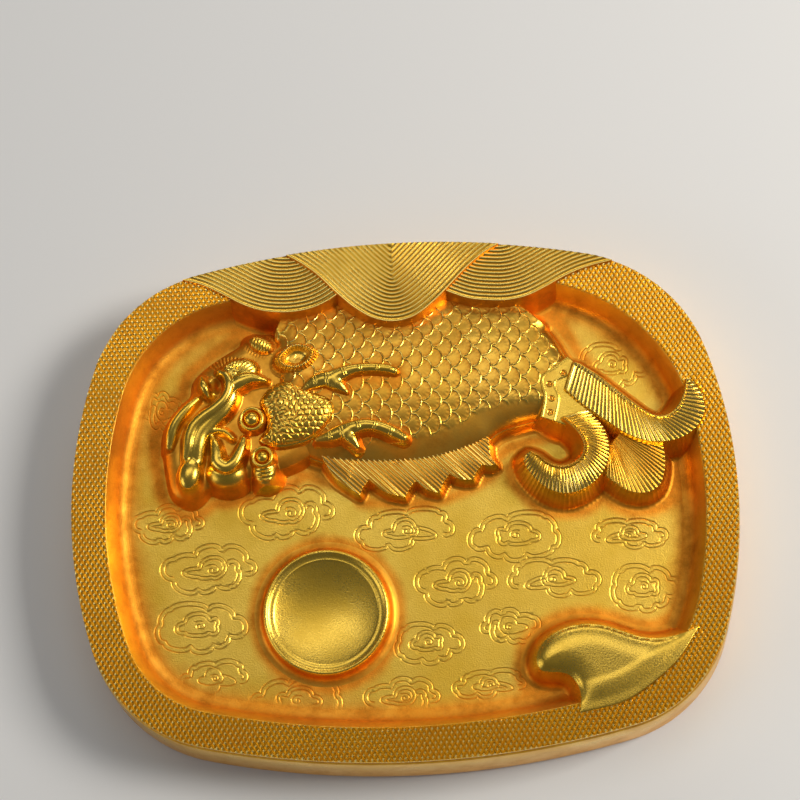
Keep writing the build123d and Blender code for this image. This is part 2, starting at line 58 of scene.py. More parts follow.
def resampled(line, step, closed=False):
    """The line's points at an even spacing."""
    line = np.asarray(line, float)
    if closed:
        line = np.vstack([line, line[:1]])
    runs = np.hypot(*np.diff(line, axis=0).T[:2])
    along = np.concatenate([[0.0], np.cumsum(runs)])
    count = max(2, int(round(along[-1] / step)) + 1)
    stops = np.linspace(0.0, along[-1], count)
    made = np.stack([np.interp(stops, along, line[:, k]) for k in range(line.shape[1])], 1)
    return made[:-1] if closed else made


def smooth(points, step, closed=False):
    """A smooth line through the given points. Columns after x and y are carried along."""
    p = np.asarray(points, float)
    if closed:
        p = np.vstack([p[-1:], p, p[:2]])
    else:
        p = np.vstack([2 * p[:1] - p[1:2], p, 2 * p[-1:] - p[-2:-1]])
    pieces = []
    u = np.linspace(0.0, 1.0, 16, endpoint=False)[:, None]
    for a, b, c, d in zip(p[:-3], p[1:-2], p[2:-1], p[3:]):
        k0 = max(math.hypot(*(b - a)[:2]), 1e-6) ** 0.5
        k1 = max(math.hypot(*(c - b)[:2]), 1e-6) ** 0.5
        k2 = max(math.hypot(*(d - c)[:2]), 1e-6) ** 0.5
        m1 = k1 * ((b - a) / k0 - (c - a) / (k0 + k1) + (c - b) / k1)
        m2 = k1 * ((c - b) / k1 - (d - b) / (k1 + k2) + (d - c) / k2)
        pieces.append(
            (2 * u**3 - 3 * u**2 + 1) * b
            + (u**3 - 2 * u**2 + u) * m1
            + (3 * u**2 - 2 * u**3) * c
            + (u**3 - u**2) * m2
        )
    made = np.vstack(pieces + ([] if closed else [p[-2:-1]]))
    return resampled(made, step, closed)


def joined(*runs):
    """One closed outline from smooth runs that meet in corners."""
    return np.vstack([run[:-1] for run in runs])


def area_of(line):
    x, y = line[:, 0], line[:, 1]
    return 0.5 * float(np.sum(x * np.roll(y, -1) - np.roll(x, -1) * y))


def anticlockwise(line):
    return line if area_of(line) > 0 else line[::-1]


def outward(line, closed=True):
    """Unit vectors to the right of the line's travel, at each of its points."""
    xy = line[:, :2]
    if closed:
        ahead = np.roll(xy, -1, 0) - xy
        behind = xy - np.roll(xy, 1, 0)
    else:
        ahead = np.vstack([xy[1:] - xy[:-1], xy[-1:] - xy[-2:-1]])
        behind = np.vstack([xy[1:2] - xy[:1], xy[1:] - xy[:-1]])
    ahead = ahead / np.maximum(np.hypot(*ahead.T)[:, None], 1e-9)
    behind = behind / np.maximum(np.hypot(*behind.T)[:, None], 1e-9)
    way = ahead + behind
    way = way / np.maximum(np.hypot(*way.T)[:, None], 1e-9)
    return np.stack([way[:, 1], -way[:, 0]], 1)


def moved_out(line, distance, closed=True):
    return line[:, :2] + outward(line, closed) * distance


def tree_of(points):
    tree = kdtree.KDTree(len(points))
    for index, point in enumerate(points):
        tree.insert((point[0], point[1], 0.0), index)
    tree.balance()
    return tree


def nearest(tree, points):
    """Distance to the nearest point of a tree, and that point's index."""
    found = [tree.find((x, y, 0.0)) for x, y in points[:, :2]]
    return np.array([f[2] for f in found]), np.array([f[1] for f in found])


def inside(points, polygon):
    """Which points lie inside a polygon."""
    x, y = points[:, 0], points[:, 1]
    result = np.zeros(len(points), bool)
    ax, ay = polygon[:, 0], polygon[:, 1]
    bx, by = np.roll(ax, -1), np.roll(ay, -1)
    for x0, y0, x1, y1 in zip(ax, ay, bx, by):
        if y0 == y1:
            continue
        low, high = (y0, y1) if y0 < y1 else (y1, y0)
        rows = (y >= low) & (y < high)
        if rows.any():
            cross = x0 + (y[rows] - y0) / (y1 - y0) * (x1 - x0)
            result[rows] ^= x[rows] < cross
    return result


def lattice_points(outline, step, clear):
    """A staggered grid of points inside an outline and clear of its edges."""
    low, high = outline.min(0)[:2], outline.max(0)[:2]
    rows = np.arange(low[1] + clear, high[1], step * 0.866)
    made = []
    for index, y in enumerate(rows):
        shift = step / 2 if index % 2 else 0.0
        x = np.arange(low[0] + shift, high[0], step)
        made.append(np.stack([x, np.full(len(x), y)], 1))
    points = np.vstack(made)
    points = points[inside(points, outline)]
    edges = resampled(outline, step / 2, True)[:, :2]
    away, _ = nearest(tree_of(edges), points)
    return points[away > clear]


def circle(count):
    """Unit vectors all the way round."""
    turns = np.linspace(0, 2 * math.pi, count, endpoint=False)
    return np.stack([np.cos(turns), np.sin(turns)], 1)


def share_of(value):
    return np.clip(value, 0, 1)


def bell(value, width):
    """One where the value is zero, falling away smoothly on both sides."""
    return np.exp(-((value / width) ** 2))


def quarter_round(share):
    """How high a rounded edge stands at a share of its width."""
    return np.sqrt(share_of(1 - (1 - share) ** 2))


def merged(forms, firmness, level):
    """The upper skin over several heights, blended where they meet."""
    total = np.sum(np.exp(firmness * (np.array(forms) - level)), 0)
    return np.log(total) / firmness + level


# Shapes


class Shape:
    """A mesh under construction, with one number per vertex for its colour: how deep it lies, for the
    patina, below zero on crests for a painted highlight, and raised in places for painted shade.
    """

    def __init__(self):
        self.verts = []
        self.faces = []
        self.deep = []
        self.count = 0

    def add(self, verts, deep):
        start = self.count
        verts = np.asarray(verts, float)
        self.verts.append(verts)
        self.deep.append(np.broadcast_to(np.asarray(deep, float), (len(verts),)).copy())
        self.count += len(verts)
        return np.arange(start, self.count)

    def band(self, first, second):
        """Faces between two closed rings of the same length, the first one above."""
        a, b = first, second
        self.faces += np.stack([a, b, np.roll(b, -1), np.roll(a, -1)], 1).tolist()

    def grid(self, table):
        """Faces over a table of vertex numbers."""
        a, b, c, d = table[:-1, :-1], table[:-1, 1:], table[1:, 1:], table[1:, :-1]
        self.faces += np.stack([a, b, c, d], -1).reshape(-1, 4).tolist()

    def tip(self, ring, place, deep):
        """Faces from a ring up to one point."""
        top = int(self.add([place], deep)[0])
        self.faces += [[int(a), int(b), top] for a, b in zip(ring, np.roll(ring, -1))]

    def all_verts(self):
        return np.vstack(self.verts)


def compact(flat, tris):
    """Only the points that the triangles use, with the triangles numbered anew."""
    used = np.unique(tris)
    renumber = np.full(len(flat), -1)
    renumber[used] = np.arange(len(used))
    return flat[used], renumber[tris]


def filled(outline, points=(), holes=(), lines=(), closed_lines=()):
    """Triangles over an outline in plan, through the given points and along the lines."""
    coords = []
    edges = []

    def chain(line, closed):
        start = len(coords)
        coords.extend(Vector((float(p[0]), float(p[1]))) for p in line)
        last = len(coords) - 1
        edges.extend((i, i + 1) for i in range(start, last))
        if closed:
            edges.append((last, start))

    for line in (outline, *holes):
        chain(line, True)
    for line in lines:
        chain(line, False)
    for line in closed_lines:
        chain(line, True)
    coords.extend(Vector((float(p[0]), float(p[1]))) for p in points)
    made, _, faces, _, _, _ = delaunay_2d_cdt(coords, edges, [], 0, 1e-5)
    flat = np.array([(v.x, v.y) for v in made])
    tris = np.array(faces, int)
    middle = flat[tris].mean(1)
    keep = inside(middle, outline)
    for hole in holes:
        keep &= ~inside(middle, hole)
    tris = tris[keep]
    a, b, c = flat[tris[:, 0]], flat[tris[:, 1]], flat[tris[:, 2]]
    turn = (b[:, 0] - a[:, 0]) * (c[:, 1] - a[:, 1]) - (b[:, 1] - a[:, 1]) * (c[:, 0] - a[:, 0])
    tris[turn < 0] = tris[turn < 0][:, ::-1]
    return compact(flat, tris)


def rings_of(tris):
    """The closed rims of a sheet of triangles, each with the sheet on its left."""
    pairs = np.vstack([tris[:, [0, 1]], tris[:, [1, 2]], tris[:, [2, 0]]])
    seen = {(int(a), int(b)) for a, b in pairs}
    following = {a: b for a, b in seen if (b, a) not in seen}
    rings = []
    while following:
        start = next(iter(following))
        ring = []
        while start in following:
            ring.append(start)
            start = following.pop(start)
        rings.append(np.array(ring))
    return sorted(rings, key=len, reverse=True)


def wall_steps(height, edge, cove):
    """Outset and drop of each ring of a wall: rounded edge, sloping wall, cove to its foot."""
    lean = math.radians(90 - DRAFT)
    slope = math.tan(math.radians(DRAFT))
    edge_drop = edge * (1 - math.cos(lean))
    room = np.maximum(height - edge_drop, 0.01) / (1 - math.cos(lean))
    cove = np.minimum(cove, room * 0.9)
    cove_rise = cove * (1 - math.cos(lean))
    steps = []
    for turn in (0.33, 0.66, 1.0):
        steps.append((edge * math.sin(lean * turn), edge * (1 - math.cos(lean * turn))))
    wall = np.maximum(height - edge_drop - cove_rise, 0.0)
    foot_out = steps[-1][0] + wall * slope
    if np.max(wall) > LONG_WALL:
        steps.append((steps[-1][0] + wall * slope / 2, steps[-1][1] + wall / 2))
    steps.append((foot_out, edge_drop + wall))
    for turn in (0.8, 0.6, 0.4, 0.2, 0.0):
        left = math.sin(lean) - math.sin(lean * turn)
        steps.append((foot_out + cove * left, height - cove * (1 - math.cos(lean * turn))))
    return steps


def ring_ways(top, reach=0.45):
    """Outward unit vectors of a closed ring, steady where its points are uneven."""
    xy = top[:, :2]
    runs = np.hypot(*(np.roll(xy, -1, 0) - xy).T)
    along = np.concatenate([[0.0], np.cumsum(runs)])
    total = along[-1]
    stops = np.concatenate([along[:-1] - total, along[:-1], along + total])
    laps = np.vstack([xy, xy, xy, xy[:1]])

    def at(shift):
        return np.stack([np.interp(along[:-1] + shift, stops, laps[:, k]) for k in (0, 1)], 1)

    way = at(reach) - at(-reach)
    way = way / np.maximum(np.hypot(*way.T)[:, None], 1e-9)
    return np.stack([way[:, 1], -way[:, 0]], 1)


def skirt(shape, ring, foot, edge, cove, deep_top, deep_foot=1.0, spread=None):
    """Walls from a ring of vertices down to a foot height. Returns the last ring."""
    top = shape.all_verts()[ring]
    ways = ring_ways(top)
    height = top[:, 2] - foot
    above = ring
    for out, drop in wall_steps(height, edge, cove):
        out = np.broadcast_to(out, height.shape)[:, None]
        if spread is not None:
            out = out * spread[:, None]
        place = np.column_stack([top[:, :2] + ways * out, top[:, 2] - drop])
        share = share_of(drop / np.maximum(height, 0.01))
        ring = shape.add(place, deep_top + (deep_foot - deep_top) * share**1.5)
        shape.band(above, ring)
        above = ring
    return above


def capped(shape, ring, under):
    """Closes a shape below its foot ring with a sunk rim and one flat face."""
    place = shape.all_verts()[ring].copy()
    place[:, 2] = under
    low = shape.add(place, 1.0)
    shape.band(ring, low)
    shape.faces.append(low[::-1].tolist())


def finished(shape, name, nodes, look, angle):
    """The shape as an object that stands for its CAD nodes."""
    material, slot = look
    verts = shape.all_verts() * MM
    mesh = bpy.data.meshes.new(name)
    mesh.from_pydata(verts.tolist(), [], shape.faces)
    mesh.validate()
    deep = mesh.attributes.new("deep", "FLOAT", "POINT")
    values = np.concatenate(shape.deep).astype(np.float32)
    deep.data.foreach_set("value", values[: len(mesh.vertices)])
    mesh.materials.append(material)
    mesh.polygons.foreach_set("use_smooth", np.ones(len(mesh.polygons), bool))
    mesh.set_sharp_from_angle(angle=math.radians(angle))
    mesh.update()
    piece = bpy.data.objects.new(name, mesh)
    bpy.context.scene.collection.objects.link(piece)
    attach(piece, "root")
    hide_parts(*nodes)


# Materials


BRIGHT = (0.98, 0.64, 0.1)
FLAT = (0.83, 0.51, 0.055)
PATINA = (0.93, 0.34, 0.025)
DARK_PATINA = tuple(0.62 * c for c in PATINA)
# The pale gold of the painted highlight on crests
PAINTED_HIGHLIGHT = (1.0, 0.78, 0.3)
GRAIN_HEIGHT = 0.00006


def gilt(name, rough, grain):
    """Fire gilding: a pale painted highlight where the attribute is below zero, orange where it is high:
    patina in the hollows, and painted shade where the attribute was raised for shade.
    """
    material = bpy.data.materials.new(name)
    material.use_nodes = True
    tree = material.node_tree
    nodes, links = tree.nodes, tree.links
    nodes.clear()
    out = nodes.new("ShaderNodeOutputMaterial")
    shader = nodes.new("ShaderNodeBsdfPrincipled")
    links.new(shader.outputs[0], out.inputs[0])
    shader.inputs["Metallic"].default_value = 1.0
    coords = nodes.new("ShaderNodeTexCoord")
    deep = nodes.new("ShaderNodeAttribute")
    deep.attribute_name = "deep"

    def noise(scale, detail, roughness):
        """Cells to a metre, octaves, and how strong the finer ones are."""
        node = nodes.new("ShaderNodeTexNoise")
        node.inputs["Scale"].default_value = scale
        node.inputs["Detail"].default_value = detail
        node.inputs["Roughness"].default_value = roughness
        links.new(coords.outputs["Object"], node.inputs["Vector"])
        return node.outputs["Fac"]

    def maths(kind, first, second):
        node = nodes.new("ShaderNodeMath")
        node.operation = kind
        node.use_clamp = kind == "ADD"
        for socket, value in zip(node.inputs, (first, second)):
            if isinstance(value, float):
                socket.default_value = value
            else:
                links.new(value, socket)
        return node.outputs[0]

    def blend(factor, first, second):
        node = nodes.new("ShaderNodeMix")
        node.data_type = "RGBA"
        links.new(factor, node.inputs[0])
        for socket, value in ((node.inputs[6], first), (node.inputs[7], second)):
            if isinstance(value, tuple):
                socket.default_value = (*value, 1.0)
            else:
                links.new(value, socket)
        return node.outputs[2]

    def ramp(factor, low, high):
        node = nodes.new("ShaderNodeMapRange")
        node.inputs["From Min"].default_value = low
        node.inputs["From Max"].default_value = high
        links.new(factor, node.inputs["Value"])
        return node.outputs["Result"]

    clouds = ramp(noise(60.0, 4.0, 0.6), 0.38, 0.66)
    patches = ramp(noise(190.0, 5.0, 0.65), 0.4, 0.7)
    specks = ramp(noise(2600.0, 2.0, 0.6), 0.35, 0.68)
    base = blend(clouds, BRIGHT, FLAT)
    base = blend(maths("MULTIPLY", specks, 0.35), base, FLAT)
    # Orange of the patina in the hollows and of the painted shade that the attribute carries in places
    patina_and_shade = maths("ADD", deep.outputs["Fac"], maths("MULTIPLY", patches, 0.25))
    patina_and_shade = ramp(patina_and_shade, 0.3, 1.05)
    patina_and_shade_colour = blend(patches, PATINA, DARK_PATINA)
    colour = blend(patina_and_shade, base, patina_and_shade_colour)
    # Painted highlight: crests, where the attribute is below zero, are coloured pale
    colour = blend(ramp(deep.outputs["Fac"], -0.05, -0.5), colour, PAINTED_HIGHLIGHT)
    links.new(colour, shader.inputs["Base Color"])
    speck_rough = maths("MULTIPLY", specks, grain * 0.2)
    cloud_rough = maths("MULTIPLY", clouds, 0.07)
    stain_rough = maths("MULTIPLY", patina_and_shade, 0.22)
    roughness = maths("ADD", maths("ADD", speck_rough, cloud_rough), stain_rough)
    roughness = maths("ADD", roughness, rough)
    links.new(roughness, shader.inputs["Roughness"])
    bump = nodes.new("ShaderNodeBump")
    bump.inputs["Strength"].default_value = grain
    bump.inputs["Distance"].default_value = GRAIN_HEIGHT
    fine = maths("MULTIPLY", specks, 0.6)
    broad = maths("MULTIPLY", noise(700.0, 3.0, 0.5), 0.4)
    links.new(maths("ADD", fine, broad), bump.inputs["Height"])
    links.new(bump.outputs["Normal"], shader.inputs["Normal"])
    return material


gilt_tray = gilt("gilt_tray", rough=0.29, grain=0.8)
gilt_hatch = gilt("gilt_hatch", rough=0.23, grain=0.15)
gilt_waves = gilt("gilt_waves", rough=0.23, grain=0.15)
gilt_relief = gilt("gilt_relief", rough=0.21, grain=0.15)
gilt_dish = gilt("gilt_dish", rough=0.22, grain=0.4)

# Each look is a material and the name of a slot
FLOOR_LOOK = (gilt_tray, "gilded_tray")
RIM_LOOK = (gilt_hatch, "gilded_tray")
WAVE_LOOK = (gilt_waves, "gilded_waves")
RELIEF = (gilt_relief, "gilded_relief")
PLAIN_RELIEF = (gilt_dish, "gilded_relief")
DISH_LOOK = (gilt_dish, "gilded_dish")


# Tray

TRAY_CORNERS = (39.0, 36.5, 37.5, 34.0)
WELL_CORNERS = (46.0, 33.5, 27.0, 33.5)


def corner_middle(half_l, half_w, long_r, short_r, corner_r):
    """The centre of the arc tangent inside a long side arc and a short side arc."""
    long_reach, short_reach = long_r - corner_r, short_r - corner_r
    long_y, short_x = half_w - long_r, half_l - short_r
    apart = math.hypot(short_x, long_y)
    along = (long_reach**2 - short_reach**2 + apart**2) / (2 * apart)
    across = math.sqrt(long_reach**2 - along**2)
    unit_x, unit_y = short_x / apart, -long_y / apart
    both = []
    for side in (1, -1):
        x = unit_x * along - side * unit_y * across
        y = long_y + unit_y * along + side * unit_x * across
        both.append((x, y))
    return max(both, key=lambda c: c[0] + c[1])


def bowed(half_l, half_w, long_r, short_r, corner_rs, step=0.9, shift=(0.0, 0.0)):
    """Four bowed sides and four corner arcs as one closed line, anticlockwise."""
    corners = []
    signs = ((1, 1), (-1, 1), (-1, -1), (1, -1))
    for corner_r, (sx, sy) in zip(corner_rs, signs):
        cx, cy = corner_middle(half_l, half_w, long_r, short_r, corner_r)
        long_turn = math.atan2(cy - half_w + long_r, cx)
        short_turn = math.atan2(cy, cx - half_l + short_r)
        corners.append((corner_r, sx, sy, cx, cy, short_turn, long_turn))
    line = []
    for index, (corner_r, sx, sy, cx, cy, short_turn, long_turn) in enumerate(corners):
        turns = np.linspace(short_turn, long_turn, 40)
        if sx * sy < 0:
            turns = turns[::-1]
        arc = np.stack([sx * (cx + corner_r * np.cos(turns)), sy * (cy + corner_r * np.sin(turns))], 1)
        after = corners[(index + 1) % 4]
        if index in (0, 2):
            start = math.atan2(cy - half_w + long_r, sx * cx)
            end = math.atan2(after[4] - half_w + long_r, after[1] * after[3])
            turns = np.linspace(start, end, 90)[1:-1]
            side = np.stack([long_r * np.cos(turns), sy * (half_w - long_r + long_r * np.sin(turns))], 1)
        else:
            start = math.atan2(sy * cy, cx - half_l + short_r)
            end = math.atan2(after[2] * after[4], after[3] - half_l + short_r)
            turns = np.linspace(start, end, 70)[1:-1]
            side = np.stack([sx * (half_l - short_r + short_r * np.cos(turns)), short_r * np.sin(turns)], 1)
        line += [arc, side]
    return resampled(np.vstack(line) + np.asarray(shift), step, True)


rim_outline = bowed(85.0, 67.5, 234.0, 122.0, TRAY_CORNERS)
well_outline = bowed(76.7, 59.0, 225.0, 111.0, WELL_CORNERS, shift=(0.3, -0.3))

HATCH_X = 1.36
HATCH_Y = 1.13
HATCH_DEPTH = 0.48
HATCH_TOP = 0.24
HATCH_REACH = (86, 68)
HATCH_OVER = 1.2

# The tray's side from its lip to the foot and into the recess under it: how far out of the
# rim's outline, the height and the depth of colour
TRAY_SIDE = (
    (0.12, 19.35, 0.2), (0.12, 18.3, 0.3), (-0.05, 18.0, 0.8), (-0.5, 17.85, 1.0),
    (-0.5, 17.25, 1.0), (0.1, 17.05, 0.8), (0.5, 16.6, 0.4), (0.85, 15.0, 0.3),
    (1.2, 12.0, 0.35), (1.6, 8.0, 0.45), (1.95, 4.5, 0.55), (2.2, 2.2, 0.6), (2.1, 1.0, 0.7),
    (1.5, 0.25, 0.8), (0.9, 0.0, 0.9), (-4.0, 0.0, 0.7), (-9.5, 0.0, 0.8), (-10.0, 0.3, 0.9),
    (-10.3, 3.6, 1.0), (-11.2, 4.7, 1.0), (-12.5, 5.0, 0.8),
)


def hatch_height(points):
    """The rim's top, cut by two families of V grooves, and how deep each point is cut."""
    first = points[:, 0] / HATCH_X + points[:, 1] / (2 * HATCH_Y)
    second = points[:, 0] / HATCH_X - points[:, 1] / (2 * HATCH_Y)
    off = np.maximum(np.abs(first - np.round(first)), np.abs(second - np.round(second)))
    drop = share_of((off - HATCH_TOP / 2) / (0.5 - HATCH_TOP / 2))
    return RIM - HATCH_DEPTH * drop, drop


def hatch_lines(outer, inner):
    """The groove bottoms and the edges of the small flats between the grooves."""
    columns = int(HATCH_REACH[0] / HATCH_X)
    rows = int(HATCH_REACH[1] / HATCH_Y)
    middles = []
    for row in range(-rows - 1, rows + 2):
        shift = 0.5 * (row % 2)
        for column in range(-columns - 1, columns + 2):
            middles.append(((column + shift) * HATCH_X, row * HATCH_Y))
    middles = np.array(middles)
    wide = moved_out(outer, HATCH_OVER)
    narrow = moved_out(inner, -HATCH_OVER)
    middles = middles[inside(middles, wide) & ~inside(middles, narrow)]
    arms = np.array([(HATCH_X / 2, 0), (0, HATCH_Y), (-HATCH_X / 2, 0), (0, -HATCH_Y)])
    lines = []
    for middle in middles:
        low = middle + arms
        flat = middle + arms * HATCH_TOP
        lines.append(np.vstack([low, low[:1]]))
        lines.append(np.vstack([flat, flat[:1]]))
        lines += [np.array([low[k], flat[k]]) for k in range(4)]
    return lines


def make_rim():
    """The hatched rim, the side and the underside. Returns the rim's inner edge."""
    lines = hatch_lines(rim_outline, well_outline)
    flat, tris = filled(rim_outline, holes=[well_outline], lines=lines)
    height, drop = hatch_height(flat)
    shape = Shape()
    # Painted highlight on the small flats on top, patina in the grooves
    shape.add(np.column_stack([flat, height]), 0.95 * drop - 0.5)
    shape.faces += tris.tolist()
    outer_ring, inner_ring = rings_of(tris)[:2]
    if abs(area_of(flat[outer_ring])) < abs(area_of(flat[inner_ring])):
        outer_ring, inner_ring = inner_ring, outer_ring
    top = shape.all_verts()[outer_ring]
    ways = outward(top)
    above = outer_ring
    for out, z, deep in TRAY_SIDE:
        place = np.column_stack([top[:, :2] + ways * out, np.full(len(top), z)])
        ring = shape.add(place, deep)
        shape.band(above, ring)
        above = ring
    low = shape.all_verts()[above][:, :2]
    _, recess_z, recess_deep = TRAY_SIDE[-1]
    cap, cap_tris = filled(low, lattice_points(low, 6.0, 3.0))
    numbers = shape.add(np.column_stack([cap, np.full(len(cap), recess_z)]), recess_deep)
    shape.faces += numbers[cap_tris][:, ::-1].tolist()
    inner_edge = shape.all_verts()[inner_ring]
    finished(shape, "tray_rim", ["tray"], RIM_LOOK, 20)
    return inner_edge


# Clouds engraved in the floor

# A cloud's strokes, clockwise: each cusp's place in a cloud about 24 wide, and how far the
# arc that follows it bulges, as a share of its chord. A stroke whose last share is zero is open.
CLOUD_KINDS = (
    (
        [(-8.3, -2.6, 0.5), (-7.8, 3.5, 0.14), (-3.1, 4.0, 0.28), (3.6, 5.1, 0.33), (9.9, 2.1, 0.55),
         (9.4, -2.3, 0)],
        [(4.5, 1.4, 0.45), (7.8, -0.2, 0.25), (5.8, -5.1, 0.25), (2.2, -4.2, 0.3), (-2.2, -5.6, 0.28),
         (-8.3, -2.6, 0)],
        [(-2.2, -2.3, 1.3), (-2.0, 0.7, 0.36), (4.5, 1.4, 0.3), (0.9, -2.6, 0.1)],
        (1.3, -0.2, 1.9),
    ),
    (
        [(-9.9, -4.3, 0.3), (-10.9, 0.9, 0.24), (-8.2, 4.9, 0.16), (1.7, 4.6, 0.26), (8.6, 2.2, 0.4),
         (10.6, -3.2, 0.2), (7.3, -3.4, 0.3), (3.0, -5.6, 0.28), (-3.0, -5.8, 0.2)],
        [(-4.3, -2.2, 0.7), (-4.7, 1.3, 0.3), (2.2, 1.7, 0.5), (4.3, -0.4, 0.4), (1.7, -2.4, 0.12)],
        (-0.5, 0.0, 1.7),
    ),
    (
        [(-11.1, -2.8, 0.5), (-9.0, 1.7, 0.3), (-6.8, 4.2, 0.15), (0.5, 4.7, 0.17), (8.9, 4.5, 0.4),
         (10.3, 2.3, 0.5), (9.9, -2.2, 0)],
        [(2.8, 1.1, 1.5), (2.2, -2.5, 0.32), (-4.3, -3.6, 0.24), (-11.1, -2.8, 0)],
        [(-3.4, -1.8, 1.0), (-3.2, 0.6, 0.42), (2.8, 1.1, 0.4), (1.4, -1.6, 0.1)],
        (0.4, 0.0, 1.7),
    ),
)
# Middle, width, height share, kind and facing of each cloud
CLOUDS = (
    (-62.0, -3.5, 20, 1.0, 0, 1), (-31.0, -2.0, 26, 1.05, 0, 1), (-51.5, -16.0, 26, 0.95, 0, 1),
    (-53.0, -30.5, 24, 1.0, 1, 1), (-50.0, -44.0, 17, 1.1, 2, 1), (-29.5, -50.5, 24, 1.0, 1, -1),
    (0.0, -8.5, 25, 1.0, 2, 1), (28.0, -11.0, 24, 1.0, 1, -1), (57.5, -12.5, 19, 0.95, 2, -1),
    (12.0, -22.5, 22, 1.1, 0, 1), (37.5, -23.0, 23, 1.0, 2, -1), (60.5, -26.0, 18, 1.25, 1, 1),
    (5.0, -37.5, 18, 1.1, 1, 1), (26.0, -34.5, 16, 1.1, 0, -1), (19.5, -49.0, 18, 0.9, 2, 1),
    (-3.0, -51.0, 20, 0.95, 0, 1), (57.0, 33.5, 19, 1.25, 1, 1), (-62.5, 27.0, 11, 1.9, 0, -1),
)
CLOUD_GAP = 1.15
SMALL_CLOUD = 17


def lobed(points, shift):
    """A line of half oval lobes over the chords between cusps, and whether it closes."""
    closed = points[-1][2] != 0
    ends = points[1:] + points[:1] if closed else points[1:]
    runs = []
    for (x0, y0, bulge), (x1, y1, _) in zip(points, ends):
        start, chord = np.array((x0, y0)), np.array((x1 - x0, y1 - y0))
        side = np.array((-chord[1], chord[0]))
        turns = np.linspace(0, math.pi, 17)[:, None]
        runs.append((start + chord * (1 - np.cos(turns)) / 2 + side * bulge * np.sin(turns))[:-1])
    if not closed:
        runs.append(np.array([points[-1][:2]]))
    return shift(np.vstack(runs)), closed


def shrunk(line, distance, closed):
    """A clockwise line drawn in by a distance, without the loops that its cusps would make."""
    line = resampled(line, 0.3, closed)
    inner = line + outward(line, closed) * distance
    away, _ = nearest(tree_of(line), inner)
    return inner[away > distance * 0.93]


def cloud_lines():
    """The two cut lines of each stroke of each cloud, and its spiral."""
    made = []
    for x, y, width, tall, kind, facing in CLOUDS:
        size = width / 24.0
        *strokes, (eye_x, eye_y, reach) = CLOUD_KINDS[kind]

        def shift(line):
            placed = np.stack([x + facing * size * line[:, 0], y + size * tall * line[:, 1]], 1)
            return placed[::facing]

        for stroke in strokes:
            line, closed = lobed(stroke, shift)
            made.append((line, closed))
            if len(stroke) in (4, 5) and width <= SMALL_CLOUD:
                continue
            gap = CLOUD_GAP if len(stroke) > 5 else CLOUD_GAP * 0.8
            drawn_in = shrunk(line, gap, closed)
            if len(drawn_in) > 3:
                made.append((drawn_in, closed))
        turns = np.linspace(0.3, 2.7 * math.pi, 50)
        r = reach * (turns / turns[-1]) ** 0.8
        curl = np.stack([eye_x + r * np.cos(turns), eye_y + 0.75 * r * np.sin(turns)], 1)
        made.append((shift(curl), False))
    return made


GROOVE_HALF = 0.27
GROOVE_DEPTH = 0.13


def make_well(inner_edge):
    """The well's walls from the rim's inner edge down, and its engraved floor."""
    shape = Shape()
    top = shape.add(inner_edge, 0.35)
    even = inner_edge.copy()
    even[:, :2] -= ring_ways(inner_edge[::-1])[::-1] * 0.12
    even[:, 2] = RIM - HATCH_DEPTH - 0.05
    ring = shape.add(even, 0.3)
    shape.band(top, ring)
    foot = skirt(shape, ring, FLOOR, edge=0.15, cove=3.2, deep_top=0.35, deep_foot=0.85)
    outline = anticlockwise(shape.all_verts()[foot][:, :2])
    middles = []
    tracks = []
    for line, closed in cloud_lines():
        fine = resampled(line, 0.34, closed)
        middles.append(resampled(line, 0.08, closed))
        ways = outward(fine, closed) * GROOVE_HALF
        tracks += [(fine, closed), (fine + ways, closed), (fine - ways, closed)]
    inner = moved_out(outline, -0.3)
    tracks = [track for track in tracks if inside(track[0], inner).any()]
    flat, tris = filled(outline, lattice_points(outline, 1.0, 0.7),
                        lines=[line for line, closed in tracks if not closed],
                        closed_lines=[line for line, closed in tracks if closed])
    away, _ = nearest(tree_of(np.vstack(middles)), flat)
    from_edge, _ = nearest(tree_of(resampled(outline, 0.3, True)), flat)
    cut = share_of(1 - away / GROOVE_HALF) * share_of(from_edge / 1.5)
    feet, _ = nearest(tree_of(floor_feet()), flat)
    # Painted shade: the floor is coloured deeper along the foot of the well's wall and round the feet of
    # the dish, the tongue, the fish, its fin and its tail
    painted_foot_shade = 0.8 * np.exp(-from_edge / 3.0) + 0.85 * bell(feet, 2.2)
    deep = 0.05 + 0.3 * cut + np.clip(painted_foot_shade, 0, 0.9)
    numbers = shape.add(np.column_stack([flat, FLOOR - GROOVE_DEPTH * cut]), deep)
    shape.faces += numbers[tris].tolist()
    finished(shape, "tray_well", ["tray"], FLOOR_LOOK, 22)


def floor_feet():
    """Where the walls of the dish, the tongue and the fish meet the floor."""
    lines = [np.asarray(DISH) + circle(240) * DISH_RADIUS]
    for points, closed, spread in ((BODY, True, 4.2), (HEAD, True, 3.2), (TONGUE_EDGE[::-1], False, 4.2)):
        outline = smooth(points, 0.5, closed)
        lines.append(moved_out(outline, spread if area_of(outline) > 0 else -spread, False))
    for line in (CURL_OUTER, FAN_RIM, LONG_OUTER):
        run = smooth(line, 0.5)
        lines.append(moved_out(run, 3.8, False))
        lines.append(moved_out(run, -3.8, False))
    for line in (LONG_INNER, CURL_INNER):
        lines.append(smooth(line, 0.5))
    lines.append(smooth(FIN_TIPS, 0.5) - (0, 1.2))
    return np.vstack(lines)


# Sheets and leaves


